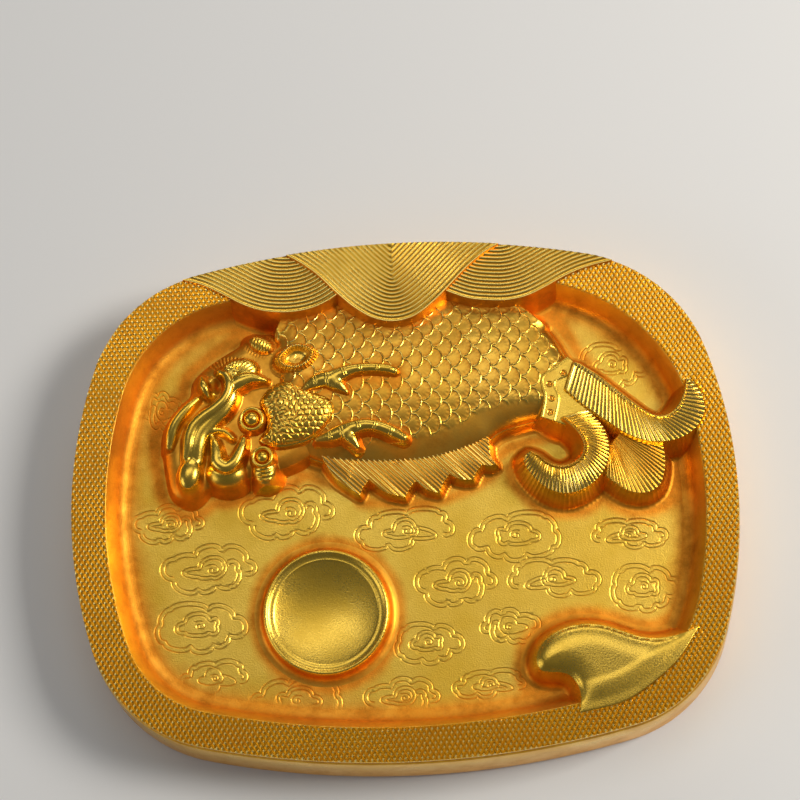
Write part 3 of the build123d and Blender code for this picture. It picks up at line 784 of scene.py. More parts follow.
def relief(name, nodes, look, outline, height, points, edge, cove, foot=FLOOR, lines=(),
           within=None, lean=None, deep=0.0, deep_top=0.12, angle=60.0):
    """A carved top over an outline, with walls down to what it stands on."""
    flat, tris = filled(outline, points, lines=lines)
    if within is not None:
        flat, tris = compact(flat, tris[inside(flat[tris].mean(1), within)])
    z, low = height(flat)
    shape = Shape()
    shape.add(np.column_stack([flat, z]), deep + low)
    shape.faces += tris.tolist()
    ring = rings_of(tris)[0]
    spread = None if lean is None else lean(flat[ring])
    last = skirt(shape, ring, foot, edge, cove, deep_top, spread=spread)
    capped(shape, last, foot - SUNK)
    finished(shape, name, nodes, look, angle)


FLUTE_STEPS = 8
FLUTE_WIDTH = 0.2
LEAF_STEPS = 14


def fluted(name, node, near, far, flutes, top, depth, arch, bead=0.0, deep=0.1, fan=1.0):
    """A leaf between two lines, combed across from one line to the other."""
    stations = flutes * FLUTE_STEPS + 1
    near = resampled(near, 0.05)
    far = resampled(far, 0.05)
    pick = np.linspace(0, 1, stations)
    a = near[np.round(pick * (len(near) - 1)).astype(int)]
    b = far[np.round(pick * (len(far) - 1)).astype(int)]
    comb = bell(np.arange(stations) / FLUTE_STEPS % 1.0 - 0.5, FLUTE_WIDTH)
    ends = share_of(np.minimum(pick, 1 - pick) * stations / FLUTE_STEPS)
    shape = Shape()
    table = []
    for share in 0.5 - 0.5 * np.cos(np.linspace(0, math.pi, LEAF_STEPS + 1)):
        fade = min(1.0, share / 0.06) if bead else 1.0
        cut = depth * (1 - comb) * fade * ends * (0.45 + 0.55 * share) ** (fan - 1)
        z = top + arch * (0.5 - 1.6 * max(0.0, share - 0.25) ** 2) - cut
        if bead and share < 0.1:
            z = z + bead * math.sin(math.pi * share / 0.1)
        place = np.column_stack([a + (b - a) * share, z])
        # Painted highlight on the flutes' crests, patina in their grooves
        table.append(shape.add(place, deep + 0.75 * (1 - comb) - 0.55))
    table = np.array(table)
    shape.grid(table)
    ring = np.concatenate([table[-1], table[1:-1, -1][::-1], table[0][::-1], table[1:-1, 0]])
    if area_of(shape.all_verts()[ring]) < 0:
        ring = ring[::-1]
    else:
        shape.faces = [face[::-1] for face in shape.faces]
    last = skirt(shape, ring, FLOOR, edge=0.2, cove=1.4, deep_top=0.3)
    capped(shape, last, FLOOR - SUNK)
    finished(shape, name, [node], RELIEF, 30)


def turned(name, nodes, look, middle, section, count=48, angle=50.0):
    """A turned piece from (radius, height, deep) stations, the lowest one first."""
    shape = Shape()
    way = circle(count)
    rings = []
    for r, z, low in section[:-1]:
        place = np.column_stack([np.asarray(middle) + way * r, np.full(count, z)])
        rings.append(shape.add(place, low))
    for lower, upper in zip(rings, rings[1:]):
        shape.band(upper, lower)
    _, z, low = section[-1]
    shape.tip(rings[-1], (*middle, z), low)
    shape.faces.append(rings[0][::-1].tolist())
    finished(shape, name, nodes, look, angle)


# Waves

# The pitch of the grooves, and the plain border before the first of them
COMB = 1.05
WAVE_BORDER = 0.28
WAVE_REACH = 34
WAVE_CUT = 0.3
WAVE_EDGES = {
    "left": ([(-62.5, 63.2), (-60, 61.5), (-54, 60.2), (-50, 58.7), (-45, 55.9), (-40, 52.9),
              (-35, 50.9), (-30, 50.1), (-25, 50.2), (-20, 51.4), (-15, 54.2), (-9.5, 59.5)], 0.4),
    "right": ([(8.0, 58.6), (13, 54.2), (16, 52.6), (20, 51.1), (25, 50.3), (30, 50.1), (35, 51.0),
               (40, 53.2), (45, 55.8), (50, 57.8), (57, 59.4), (63, 60.2), (67.5, 60.0)], 0.4),
    "middle": ([(-36.5, 70.8), (-31, 67.5), (-25, 64), (-20, 60.0), (-15, 54.6), (-10, 49.8), (-5, 46.7),
                (0, 45.7), (5, 46.8), (10, 50.3), (15, 55.1), (20, 60.1), (25, 64), (31, 67.0),
                (36.5, 69.6)], 1.0),
}


def make_wave(side):
    edge_points, rise = WAVE_EDGES[side]
    edge = smooth(edge_points, 0.5)
    panel = np.vstack([edge, [(edge[-1][0], 80.0), (edge[0][0], 80.0)]])
    tree = tree_of(resampled(edge, 0.06))
    rim_tree = tree_of(resampled(rim_outline, 0.1, True))
    lines = [edge]
    base = resampled(edge, 0.7)
    ways = outward(base, False)
    for level in range(1, int(WAVE_REACH / COMB * 4)):
        reach = WAVE_BORDER + level * COMB / 4
        line = base - ways * reach
        away, _ = nearest(tree, line)
        line = line[away > reach - 0.02]
        if len(line) > 2:
            lines.append(line)

    def height(points):
        away, _ = nearest(tree, points)
        valley = 0.5 + 0.5 * np.cos((away - WAVE_BORDER - COMB / 2) / COMB * 2 * math.pi)
        valley = np.where(away < WAVE_BORDER, 0.0, valley**1.4)
        # Painted highlight on the ridges and the plain border, patina in the grooves
        return RIM + rise - WAVE_CUT * valley, 0.85 * valley - 0.35

    def lean(points):
        away, _ = nearest(rim_tree, points)
        return np.where(away < 0.12, 0.0, 1.0)

    relief(f"wave_{side}", [f"wave_panel_{side}"], WAVE_LOOK, rim_outline, height, (),
           edge=0.2, cove=1.6, lines=lines, within=panel, lean=lean, deep=0.06, deep_top=0.85)


# Fish body

SCALE_ALONG = np.array([5.1, -0.1])
SCALE_ACROSS = np.array([-2.35, 2.95])
SCALE_START = np.array([-2.85, 0.88])
SCALE_LONG = 2.3
SCALE_HIGH = 2.9
SCALE_SHARES = (0.82, 0.92, 1.0, 1.05)
SCALE_RAYS = 17
LIP_RISE = 0.17
RAY_CUT = 0.1
BODY_CREST = 19.55
BODY_EDGE = 14.6
BODY_ROUND = 6.5
BODY = [
    (-32.0, 40.5), (-31.1, 46.6), (-27, 52.5), (0, 53.5), (20, 52.5), (32.3, 49.5), (36.2, 46.1),
    (39.0, 43.6), (42.0, 39.5), (44.2, 35.1), (46.5, 31.5), (42, 30.0), (38.3, 28.2), (38.3, 23.0),
    (37.5, 18.8), (33.1, 17.7), (26.0, 15.7), (22.0, 12.9), (15.0, 9.8), (8.0, 7.8), (-0.1, 7.2),
    (-8.1, 7.6), (-15.1, 8.7), (-21.1, 10.4), (-26.2, 12.9), (-30.6, 17.6), (-32.3, 24.4),
    (-31.6, 32.5),
]
SCALED_EDGE = [
    (-40, 14.5), (-20, 14.0), (-8, 13.2), (0, 13.4), (8, 14.4), (14, 16.3), (20, 19.3), (26, 21.2),
    (33, 21.6), (45, 21.0),
]


def scale_sites():
    sites = []
    for row in range(-6, 24):
        for column in range(-20, 30):
            site = SCALE_START + column * SCALE_ALONG + row * SCALE_ACROSS
            if -42 < site[0] < 50 and 6 < site[1] < 58:
                sites.append(site)
    return np.array(sites)


def scales(points, sites):
    """How high the overlapping scales stand over the skin, and how deep their seams lie, below zero on the
    lips for a painted highlight.
    """
    z = np.zeros(len(points))
    seam = np.full(len(points), 0.6)
    for site in sites[np.argsort(-sites[:, 0])]:
        off = points - site
        near = (np.abs(off[:, 0]) < 4.2) & (np.abs(off[:, 1]) < 3.4)
        if not near.any():
            continue
        u, v = off[near, 0], off[near, 1]
        ahead = np.where(u > 0, u / SCALE_LONG, u / (SCALE_LONG * 1.35))
        r = np.hypot(ahead, v / SCALE_HIGH)
        cover = share_of((1.04 - r) / 0.1)
        lip = bell(r - 0.92, 0.052)
        comb = 0.5 + 0.5 * np.cos(np.arctan2(v, u + 1.6) * SCALE_RAYS)
        rays = share_of(1 - np.abs(r - 0.6) / 0.28) * comb * (u > -1.2)
        plate = 0.08 - 0.08 * r**2 + LIP_RISE * lip - RAY_CUT * rays
        # Painted highlight on the lips, patina in the seams and rays
        low = 0.56 + 0.3 * share_of(1 - np.abs(r - 0.78) / 0.16) + 0.22 * rays - 1.15 * lip
        z[near] = z[near] * (1 - cover) + plate * cover
        seam[near] = seam[near] * (1 - cover) + low * cover
    return z, seam


def make_body():
    outline = anticlockwise(smooth(BODY, 0.45, True))
    beside_collar = (outline[:, 0] > 35.8) & (outline[:, 1] > 17.5) & (outline[:, 1] < 33.0)
    tree = tree_of(outline[(outline[:, 1] < 43.0) & ~beside_collar])
    sites = scale_sites()
    belly = smooth(SCALED_EDGE, 0.3)
    turns = np.radians(np.linspace(-86, 86, 15))
    lines = []
    for site in sites:
        for share in SCALE_SHARES:
            x = SCALE_LONG * share * np.cos(turns)
            y = SCALE_HIGH * share * np.sin(turns)
            arc = site + np.stack([x, y], 1)
            middle = arc[7]
            over_belly = middle[1] > np.interp(middle[0], belly[:, 0], belly[:, 1])
            if over_belly and inside(arc, outline).all():
                lines.append(arc)
    horns = [smooth(line, 0.4)[:, :2] for line in (UPPER_HORN, LOWER_HORN)]
    horn_tree = tree_of(np.vstack(horns))

    def height(p):
        away, _ = nearest(tree, p)
        fall = (p[:, 1] - 31.0) ** 2 / 150.0 + np.clip(p[:, 0] - 25, 0, None) ** 2 / 600.0
        crown = BODY_CREST - fall
        z = BODY_EDGE + (crown - BODY_EDGE) * quarter_round(share_of(away / BODY_ROUND)) ** 0.95
        over = p[:, 1] - np.interp(p[:, 0], belly[:, 0], belly[:, 1])
        on = share_of(over / 1.2) * share_of(away / 0.5)
        plates, seam = scales(p, sites)
        # Painted shade: the body is coloured deeper in a band just in front of each horn, where the horn
        # shades it
        under, _ = nearest(horn_tree, p + (0.3, 1.0))
        shade = 0.9 * bell(under, 2.6)
        fade = 0.62 * (1 - on)
        tint = np.clip(1.05 - (p[:, 0] + 30) / 160, 0.6, 1.05)
        return z + plates * on, np.clip(seam * on * tint + fade + shade, -0.5, 1)

    relief("fish_body_scaled", ["fish_body"], RELIEF, outline, height,
           lattice_points(outline, 0.36, 0.2), edge=0.2, cove=1.8, lines=lines, deep=0.08,
           angle=50.0)


# Tail

LONG_INNER = [
    (46.0, 31.8), (48.3, 30.4), (52, 27.5), (56, 23.8), (60, 20.2), (63.5, 17.3), (66.5, 16.0),
    (69.5, 16.6), (72, 19), (73.6, 22.0), (74.2, 24.0), (74.5, 25.9),
]
LONG_OUTER = [
    (43.3, 24.8), (47, 21), (50, 18.5), (54, 15.3), (58, 12.3), (62, 10.4), (66, 9.7), (70, 10.0),
    (74, 11.6), (77, 14.5), (78.3, 18), (77.8, 21.5), (76.4, 24.3), (75.0, 25.9),
]
CURL_OUTER = [
    (48.6, 19.2), (50, 17.5), (52.3, 14), (53.2, 10), (52.8, 6), (51, 2.5), (48, -0.3), (44.5, -2.0),
    (41, -2.3), (37, -0.8), (34, 2), (32, 5), (31.5, 7.3),
]
CURL_INNER = [
    (42.0, 17.0), (44, 15.2), (46.5, 12), (47, 9), (46, 6.5), (43.5, 4.8), (41, 4.3), (38.5, 4.9),
    (36.5, 6.2), (35, 7.6), (33.2, 8.5),
]
FAN_RIM = [
    (67.2, 9.6), (67.3, 5), (66.8, 2), (65.5, -1), (63, -2.7), (60, -2.9), (57, -1.9), (54.5, 0.0),
    (52.3, 2.0), (51.8, 3.6),
]
FAN_ROOT = [(57.2, 13.0), (56.0, 11.8), (55.0, 10.8), (54.3, 10.0), (53.6, 9.2), (53.0, 8.4)]
ROOT = [
    (38.3, 22.4), (43.8, 30.0), (47.5, 31.6), (48.5, 28.0), (50.5, 20.5), (47.5, 15.5), (42.5, 15.8),
    (38.2, 18.4),
]


def make_tail():
    fluted("tail_long", "tail_lobe_long", smooth(LONG_INNER, 0.2), smooth(LONG_OUTER, 0.2), 43,
           RIM + 0.65, depth=0.27, arch=0.5, bead=0.3)
    fluted("tail_curl", "tail_lobe_curl", smooth(CURL_INNER, 0.2), smooth(CURL_OUTER, 0.2), 44,
           RIM + 0.1, depth=0.27, arch=1.3, bead=0.45)
    fluted("tail_fan", "tail_lobe_fan", smooth(FAN_ROOT, 0.1), smooth(FAN_RIM, 0.1), 24,
           RIM - 1.5, depth=0.24, arch=0.9, deep=0.45, fan=1.6)


# Dish and tongue

DISH = (-20.8, -29.0)
DISH_RADIUS = 18.6
# The ring's section over the floor: radius, height and depth of colour, from its foot inwards
DISH_RING = (
    (DISH_RADIUS, -SUNK, 1.0), (DISH_RADIUS, 0.0, 0.7), (17.6, 0.12, 0.9), (16.9, 0.5, 1.0),
    (16.5, 1.1, 1.0), (16.25, 1.9, 0.85), (16.1, 2.6, 0.5), (15.98, 3.15, 0.2), (15.8, 3.45, 0.0),
    (15.5, 3.6, 0.0), (15.15, 3.56, 0.0), (14.95, 3.38, 0.15), (14.6, 3.12, 0.1), (13.75, 2.85, 0.0),
    (13.6, 2.88, 0.0), (13.45, 2.86, 0.0), (13.3, 2.72, 0.15), (13.0, 2.62, 0.05),
)
BOWL_RADIUS = 13.0
BOWL_LOW = 0.75
BOWL_DEPTH = 1.85


def make_dish():
    section = list(DISH_RING)
    for r in np.linspace(12.4, 0.5, 26):
        section.append((r, BOWL_LOW + BOWL_DEPTH * (r / BOWL_RADIUS) ** 2, 0.0))
    section.append((0.0, BOWL_LOW, 0.0))
    turned("dish", ["grinding_dish"], DISH_LOOK, DISH,
           [(r, FLOOR + z, low) for r, z, low in section], count=128, angle=60)


TONGUE_EDGE = [
    (71.5, -38.2), (69.0, -39.4), (65, -40.3), (61, -40.5), (57, -39.9), (53, -38.4), (49, -36.9),
    (45, -36.2), (41, -36.4), (37, -37.7), (33.8, -39.9), (32.0, -42.6), (31.7, -45.0), (32.6, -46.6),
    (34.6, -47.1), (37.2, -47.3), (39.6, -48.3), (41.3, -50.6), (41.9, -53.0), (41.7, -55.6),
    (41.3, -57.5),
]
TONGUE_REAR = [(41.3, -57.5), (52, -55.2), (60, -50.5), (66.5, -45), (71.5, -38.2)]
TONGUE_EDGE_Z = 18.8
TONGUE_CLIMB = 1.35
TONGUE_SWELL = 1.9
TONGUE_ROUND = 6.0


def make_tongue():
    lip = smooth(TONGUE_EDGE, 0.35)
    outline = anticlockwise(np.vstack([lip, smooth(TONGUE_REAR, 0.5)[1:-1]]))
    tree = tree_of(resampled(lip, 0.1))
    well_tree = tree_of(resampled(well_outline, 0.3, True))

    def height(p):
        away, _ = nearest(tree, p)
        from_well, _ = nearest(well_tree, p)
        past_well = np.where(inside(p, well_outline), -from_well, from_well)
        over_rim = share_of(past_well / 5.0 + 1.0)
        swell = TONGUE_SWELL * quarter_round(share_of(away / TONGUE_ROUND)) * (1 - over_rim**2 * 0.8)
        z = TONGUE_EDGE_Z + TONGUE_CLIMB * over_rim + swell * (1 - 0.25 * over_rim)
        return z, np.zeros(len(p))

    relief("tongue", ["wave_tongue"], DISH_LOOK, outline, height,
           lattice_points(outline, 0.6, 0.25), edge=0.35, cove=2.0, angle=50.0)


# Fin

FIN_BASE = [
    (-22.0, 14.6), (-20.6, 13.5), (-13.3, 12.2), (-6.4, 11.1), (-1.2, 10.8), (5.8, 11.1), (11.0, 11.8),
    (16.2, 12.8), (19.7, 14.2), (22.4, 15.2),
]
FIN_TIPS = [(-11.1, 0.9), (0.5, -0.2), (9.3, 0.4), (18.2, 3.4), (24.2, 7.0)]
FIN_NOTCHES = [(-8.6, 4.8), (3.6, 3.9), (12.2, 5.1), (20.8, 7.2), (22.8, 10.6)]
FIN_PITCH = 0.92
FIN_TIP_Z = 14.9
FIN_CLIMB = 1.2
RIB_RISE = 0.24
RIB_WIDTH = 0.17
RIB_LINES = (-0.3, -0.13, 0.0, 0.13, 0.3)


def make_fin():
    """Teeth that lean back along the belly, ribbed across by slanting ridges."""
    runs = []
    start = FIN_BASE[0]
    for tip, notch in zip(FIN_TIPS, FIN_NOTCHES):
        run_x, run_y = tip[0] - start[0], tip[1] - start[1]
        bow = (start[0] + run_x * 0.55 + run_y * 0.1, start[1] + run_y * 0.55 - run_x * 0.1)
        runs.append(smooth([start, bow, tip], 0.3))
        back = (tip[0] * 0.45 + notch[0] * 0.55 - 0.35, tip[1] * 0.45 + notch[1] * 0.55 + 0.1)
        runs.append(smooth([tip, back, notch], 0.3))
        start = notch
    runs.append(smooth([start] + FIN_BASE[::-1], 0.4))
    outline = anticlockwise(joined(*runs))
    across = FIN_PITCH * math.sqrt(2)
    lines = []
    for step in range(-30, 60):
        for shift in RIB_LINES:
            level = (step + shift) * across
            lines.append(np.array([(level - 26, 26.0), (level + 14, -14.0)]))

    def height(p):
        phase = (p[:, 0] + p[:, 1]) / across
        ridges = bell(phase - np.round(phase), RIB_WIDTH)
        rise = share_of((p[:, 1] + 1) / 13)
        # Painted highlight on the rib crests, patina between the ribs
        return FIN_TIP_Z + FIN_CLIMB * rise + RIB_RISE * ridges, 0.8 - 1.3 * ridges

    relief("fin", ["belly_fin"], RELIEF, outline, height, (), edge=0.15, cove=1.2,
           lines=lines)


# Collar, studs and root

COLLAR_INNER = [(44.4, 33.6), (41.4, 31.5), (37.3, 28.4), (37.8, 23.4), (36.6, 18.0)]
COLLAR_OUTER = [(47.6, 30.6), (44.3, 28.6), (40.9, 26.9), (41.7, 23.0), (40.2, 16.6)]
STUDS = [(43.1, 29.4), (39.3, 26.6), (39.6, 22.7), (39.0, 19.0)]
COLLAR_Z = RIM - 0.45
COLLAR_BORDER = 0.14
ROOT_Z = RIM - 0.55
# A stud's section: radius, drop from the rim's height and depth of colour
STUD = (
    (0.95, 0.6, 0.9), (0.9, 0.25, 0.5), (0.75, 0.12, 0.0), (0.6, 0.16, 0.0), (0.45, 0.42, 0.9),
    (0.34, 0.42, 0.9), (0.24, 0.22, 0.1), (0.1, 0.16, 0.0), (0.0, 0.15, 0.0),
)


def make_collar():
    inner, outer = smooth(COLLAR_INNER, 0.3), smooth(COLLAR_OUTER, 0.3)
    outline = anticlockwise(np.vstack([inner, outer[::-1]]))
    long_sides = tree_of(np.vstack([resampled(inner, 0.05), resampled(outer, 0.05)]))
    root = anticlockwise(smooth(ROOT, 0.3, True))

    def collar_height(p):
        away, _ = nearest(long_sides, p)
        border = bell(away - 0.35, 0.14)
        return COLLAR_Z + COLLAR_BORDER * border, 0.3 * (1 - border)

    def root_height(p):
        return np.full(len(p), ROOT_Z), np.full(len(p), 0.12)

    relief("tail_collar", ["tail_collar"], PLAIN_RELIEF, outline, collar_height,
           lattice_points(outline, 0.16, 0.08), edge=0.15, cove=1.2)
    relief("tail_root", ["tail_root"], PLAIN_RELIEF, root, root_height,
           lattice_points(root, 0.8, 0.4), edge=0.3, cove=1.6, angle=35.0)
    section = [(r, RIM - drop, low) for r, drop, low in STUD]
    for index, stud in enumerate(STUDS):
        turned(f"stud_{index}", ["collar_studs"], RELIEF, stud, section, count=24)


# Head

# Outlines in plan, then the head's ridges as (x, y, half width, crest height)
HEAD = [
    (-58.9, 3.0), (-60.8, 9.5), (-61.3, 15.8), (-60.6, 21.9), (-57.4, 26.9), (-54.3, 30.0),
    (-53.4, 34.0), (-50.0, 37.4), (-46.8, 39.6), (-43.0, 41.8), (-38.2, 44.6), (-32.7, 45.3),
    (-29.0, 38.8), (-26.1, 32.4), (-20.2, 28.7), (-15.1, 25.3), (-15.3, 20.2), (-18.6, 16.2),
    (-22.4, 12.8), (-27.0, 10.0), (-32.3, 8.2), (-37.8, 7.2), (-42.4, 5.3), (-46.4, 4.4), (-50.0, 4.6),
    (-54.4, 1.7),
]
CROWN = [
    (-34.6, 28.1), (-32.7, 30.0), (-28.7, 31.3), (-25.1, 29.9), (-21.2, 28.1), (-17.4, 25.9),
    (-16.5, 23.3), (-17.9, 20.0), (-21.8, 16.4), (-27.3, 14.5), (-32.4, 14.2), (-36.0, 15.9),
    (-34.3, 18.6), (-34.0, 21.5), (-35.0, 24.4), (-35.6, 26.3),
]
SNOUT = [
    (-46.6, 34.9, 0.5, 20.2), (-44.8, 33.7, 0.8, 20.9), (-43.9, 31.7, 1.0, 21.4),
    (-43.9, 29.4, 1.1, 21.6), (-45.2, 26.8, 1.2, 21.7), (-47.6, 24.6, 1.3, 21.7),
    (-50.7, 22.5, 1.4, 21.7), (-53.1, 20.2, 1.5, 21.6), (-54.3, 17.5, 1.4, 21.4),
    (-54.8, 14.6, 1.2, 21.0), (-55.4, 12.0, 0.8, 20.4),
]
SNOUT_ARM = [
    (-43.6, 30.6, 1.5, 20.5), (-43.6, 28.0, 1.9, 20.7), (-45.6, 24.7, 2.2, 20.8),
    (-48.9, 21.8, 2.5, 20.8), (-51.7, 18.6, 2.6, 20.8), (-52.7, 14.8, 2.4, 20.5),
    (-53.2, 11.4, 2.2, 19.8),
]
LIP = [
    (-52.5, 27.8, 0.7, 19.2), (-54.7, 25.8, 1.0, 19.8), (-56.9, 23.4, 1.2, 19.9),
    (-58.5, 21.0, 1.3, 19.7), (-59.4, 18.4, 1.3, 19.2), (-60.0, 15.6, 1.0, 18.3),
]
MOUTH = [
    (-48.6, 17.2, 0.7, 19.3), (-48.0, 15.6, 1.1, 20.2), (-47.5, 13.0, 1.4, 20.8),
    (-47.2, 10.4, 1.7, 21.0), (-45.0, 8.9, 1.8, 21.0), (-43.0, 10.0, 1.6, 20.9),
    (-41.7, 12.2, 1.3, 20.6), (-40.8, 14.6, 1.0, 20.2), (-40.4, 16.2, 0.7, 19.7),
]
ARCH = [
    (-50.9, 15.6, 0.45, 18.8), (-50.2, 17.6, 0.55, 19.3), (-48.1, 18.9, 0.6, 19.6),
    (-45.4, 18.7, 0.6, 19.5), (-43.4, 16.9, 0.5, 19.1),
]
WEDGE = [
    (-43.4, 30.4, 1.7, 20.9), (-41.2, 31.6, 2.0, 21.1), (-38.8, 32.4, 1.6, 20.9),
    (-36.4, 32.3, 1.0, 20.4), (-34.4, 31.8, 0.4, 19.6),
]
LEAF = [
    (-51.1, 33.4, 0.4, 19.6), (-50.8, 31.8, 0.95, 20.6), (-50.2, 30.0, 1.0, 20.7),
    (-49.5, 28.3, 0.4, 19.7),
]
# How steeply the flanks fall, the ground that the forms stand on and how they blend
FLANK = 2.7
HEAD_GROUND = 17.0
HEAD_BLEND = 3.2
HEAD_LEVEL = 18.0
# The cheek's fan, the tuft behind it, the hollow at its root and the folds under the lower eye
FAN_AT = (-44.3, 32.2)
FAN_REACH = 7.4
FAN_FLUTES = 44
TUFT_AT = (-35.6, 42.4)
TUFT_PITCH = 0.72
HOLLOW_AT = (-47.2, 31.4)
FOLDS_ABOUT = (-35.6, 11.0)
# Rounded bosses of the head: middle, half length, half width, turn in degrees and crest
MOUNDS = (
    ((-54.6, 7.6), 4.2, 2.9, 80, 20.9), ((-45.4, 8.2), 5.4, 4.6, -6, 19.4),
    ((-35.3, 8.4), 3.2, 4.4, 0, 19.1), ((-49.0, 30.9), 3.4, 3.6, 0, 18.4),
    ((-41.2, 35.0), 5.0, 3.6, 4, 20.3), ((-35.6, 42.2), 3.4, 2.2, -28, 19.0),
)


RIDGE_STEP = 0.12


def ridge(points, path):
    """A rounded ridge with steep flanks along a line of (x, y, half width, crest height)."""
    path = smooth(path, RIDGE_STEP)
    away, index = nearest(tree_of(path), points)
    half, crest = path[index, 2], path[index, 3]
    share = share_of(away / half)
    return crest - 0.8 * half * (1 - np.sqrt(1 - share**2)) - FLANK * np.clip(away - half, 0, None)


def mound(points, middle, long, wide, turn, crest):
    """A rounded boss with steep flanks."""
    off = points - middle
    cos, sin = math.cos(math.radians(turn)), math.sin(math.radians(turn))
    along, cross = off[:, 0] * cos + off[:, 1] * sin, off[:, 1] * cos - off[:, 0] * sin
    reach = np.hypot(along / long, cross / wide)
    small = min(long, wide)
    top = 0.75 * small * (1 - np.sqrt(1 - share_of(reach) ** 2))
    return crest - top - FLANK * small * np.clip(reach - 1, 0, None)


def fan_cuts(points):
    """The flutes that spread over the cheek, and the short ones of the tuft behind it."""
    off = points - FAN_AT
    reach, turn = np.hypot(*off.T), np.arctan2(off[:, 1], off[:, 0])
    on = share_of((reach - 2.0) / 0.8) * share_of((turn - 0.35) / 0.15)
    on = on * (reach < FAN_REACH) * (turn < 2.35)
    cheek = on * (0.5 + 0.5 * np.cos(turn * FAN_FLUTES)) ** 1.4
    along = (points[:, 0] + 36) * 0.8 - (points[:, 1] - 42) * 0.35
    from_tuft = np.hypot(*((points - TUFT_AT) / (3.0, 2.4)).T)
    box = np.clip(1.6 - from_tuft, 0, 0.5) * 2
    tuft = box * (0.5 + 0.5 * np.cos(along * 2 * math.pi / TUFT_PITCH)) ** 1.3
    return cheek, tuft


def make_head_base():
    """The head's soft forms, sculpted as one skin over the nodes that they cover."""
    core = anticlockwise(smooth(HEAD, 0.4, True))
    outline = anticlockwise(smooth(moved_out(core, 3.6)[::6], 0.4, True))
    core_tree = tree_of(resampled(core, 0.2, True))

    def height(p):
        from_edge, _ = nearest(core_tree, p)
        signed = np.where(inside(p, core), from_edge, -from_edge)
        fall = 2.9 * np.clip(-signed, 0, None) + 1.6 * (1 - share_of(signed / 3.5)) ** 2
        base = HEAD_GROUND - fall
        forms = [base, np.full(len(p), FLOOR - 0.35)]
        forms += [ridge(p, path) for path in (SNOUT, SNOUT_ARM, LIP, MOUTH, ARCH, WEDGE, LEAF)]
        forms += [mound(p, *boss) for boss in MOUNDS]
        z = merged(forms, HEAD_BLEND, HEAD_LEVEL)
        cheek, tuft = fan_cuts(p)
        hollow = share_of(1 - np.hypot(*((p - HOLLOW_AT) / (2.0, 2.6)).T))
        folds = 0.2 * np.cos(np.hypot(*(p - FOLDS_ABOUT).T) * 6.5)
        folds = folds * ((p[:, 1] < 8.5) & (p[:, 1] > 4.8)) * share_of(2.2 - np.abs(p[:, 0] + 35.3))
        z = z - 0.35 * cheek - 0.3 * tuft - 1.8 * hollow + folds
        low = share_of((19.6 - z) / 3.2) ** 1.2
        return np.maximum(z, FLOOR - 0.1), 0.95 * low + 0.35 * (cheek + tuft) + 0.3 * hollow

    nodes = ["head_base", "snout_ridge", "lip_bar", "mouth_curl", "cheek_fan", "nostril_bulb",
             "chin_bulb", "cheek_tuft"]
    relief("head_skin", nodes, RELIEF, outline, height, lattice_points(outline, 0.27, 0.2),
           edge=0.02, cove=0.02, foot=FLOOR - 0.2, angle=70.0)


def cell_seams(points, sites, ways, stretch):
    """Distance to the seam between the two nearest cells, each drawn out along its way."""
    tree = tree_of(sites)
    seams = np.empty(len(points))
    for index, (x, y) in enumerate(points):
        near = [found[1] for found in tree.find_n((x, y, 0.0), 12)]
        off = sites[near] - (x, y)
        way = ways[near]
        along = (off * way).sum(1)
        cross = off[:, 0] * way[:, 1] - off[:, 1] * way[:, 0]
        reach = np.sort(np.hypot(along / stretch[near], cross))
        seams[index] = reach[1] - reach[0]
    return seams


CROWN_EDGE_Z = 18.4
CROWN_RISE = 2.7
CROWN_ROUND = 6.0
CELL_SIZE = 1.75
SEAM_WIDTH = 0.36
SEAM_CUT = 0.26


def make_crown():
    random = np.random.default_rng(7)
    outline = anticlockwise(smooth(CROWN, 0.25, True))
    tree = tree_of(resampled(outline, 0.1, True))
    sites = lattice_points(outline, CELL_SIZE, -1.0)
    sites = sites + random.uniform(-0.3, 0.3, sites.shape)
    off = sites - (-29.5, 22.5)
    swirl = np.arctan2(off[:, 1], off[:, 0]) + 0.9
    swirl = swirl + 0.8 * np.sin(off[:, 0] * 0.9) * np.cos(off[:, 1] * 0.8)
    ways = np.stack([np.cos(swirl), np.sin(swirl)], 1)
    stretch = np.where(sites[:, 0] < -26.0, 2.6, 1.15)

    def height(p):
        away, _ = nearest(tree, p)
        top = CROWN_EDGE_Z + CROWN_RISE * quarter_round(share_of(away / CROWN_ROUND))
        seams = cell_seams(p, sites, ways, stretch)
        groove = share_of(1 - seams / SEAM_WIDTH) * share_of(away / 0.3)
        return top - SEAM_CUT * groove**0.8, 0.75 * groove

    relief("crown", ["crown_dome"], RELIEF, outline, height, lattice_points(outline, 0.2, 0.1),
           edge=0.3, cove=1.2, foot=HEAD_BASE, deep=0.05)


EAR = (-26.2, 37.5)
EAR_TURN = math.radians(12)
EAR_FLUTES = 34
EAR_RINGS = 26
EAR_HALF = (5.5, 3.6)
EAR_HOLLOW = 19.3
EAR_BORDER = 2.1
EAR_CUT = 0.26
EAR_FOOT = 17.4


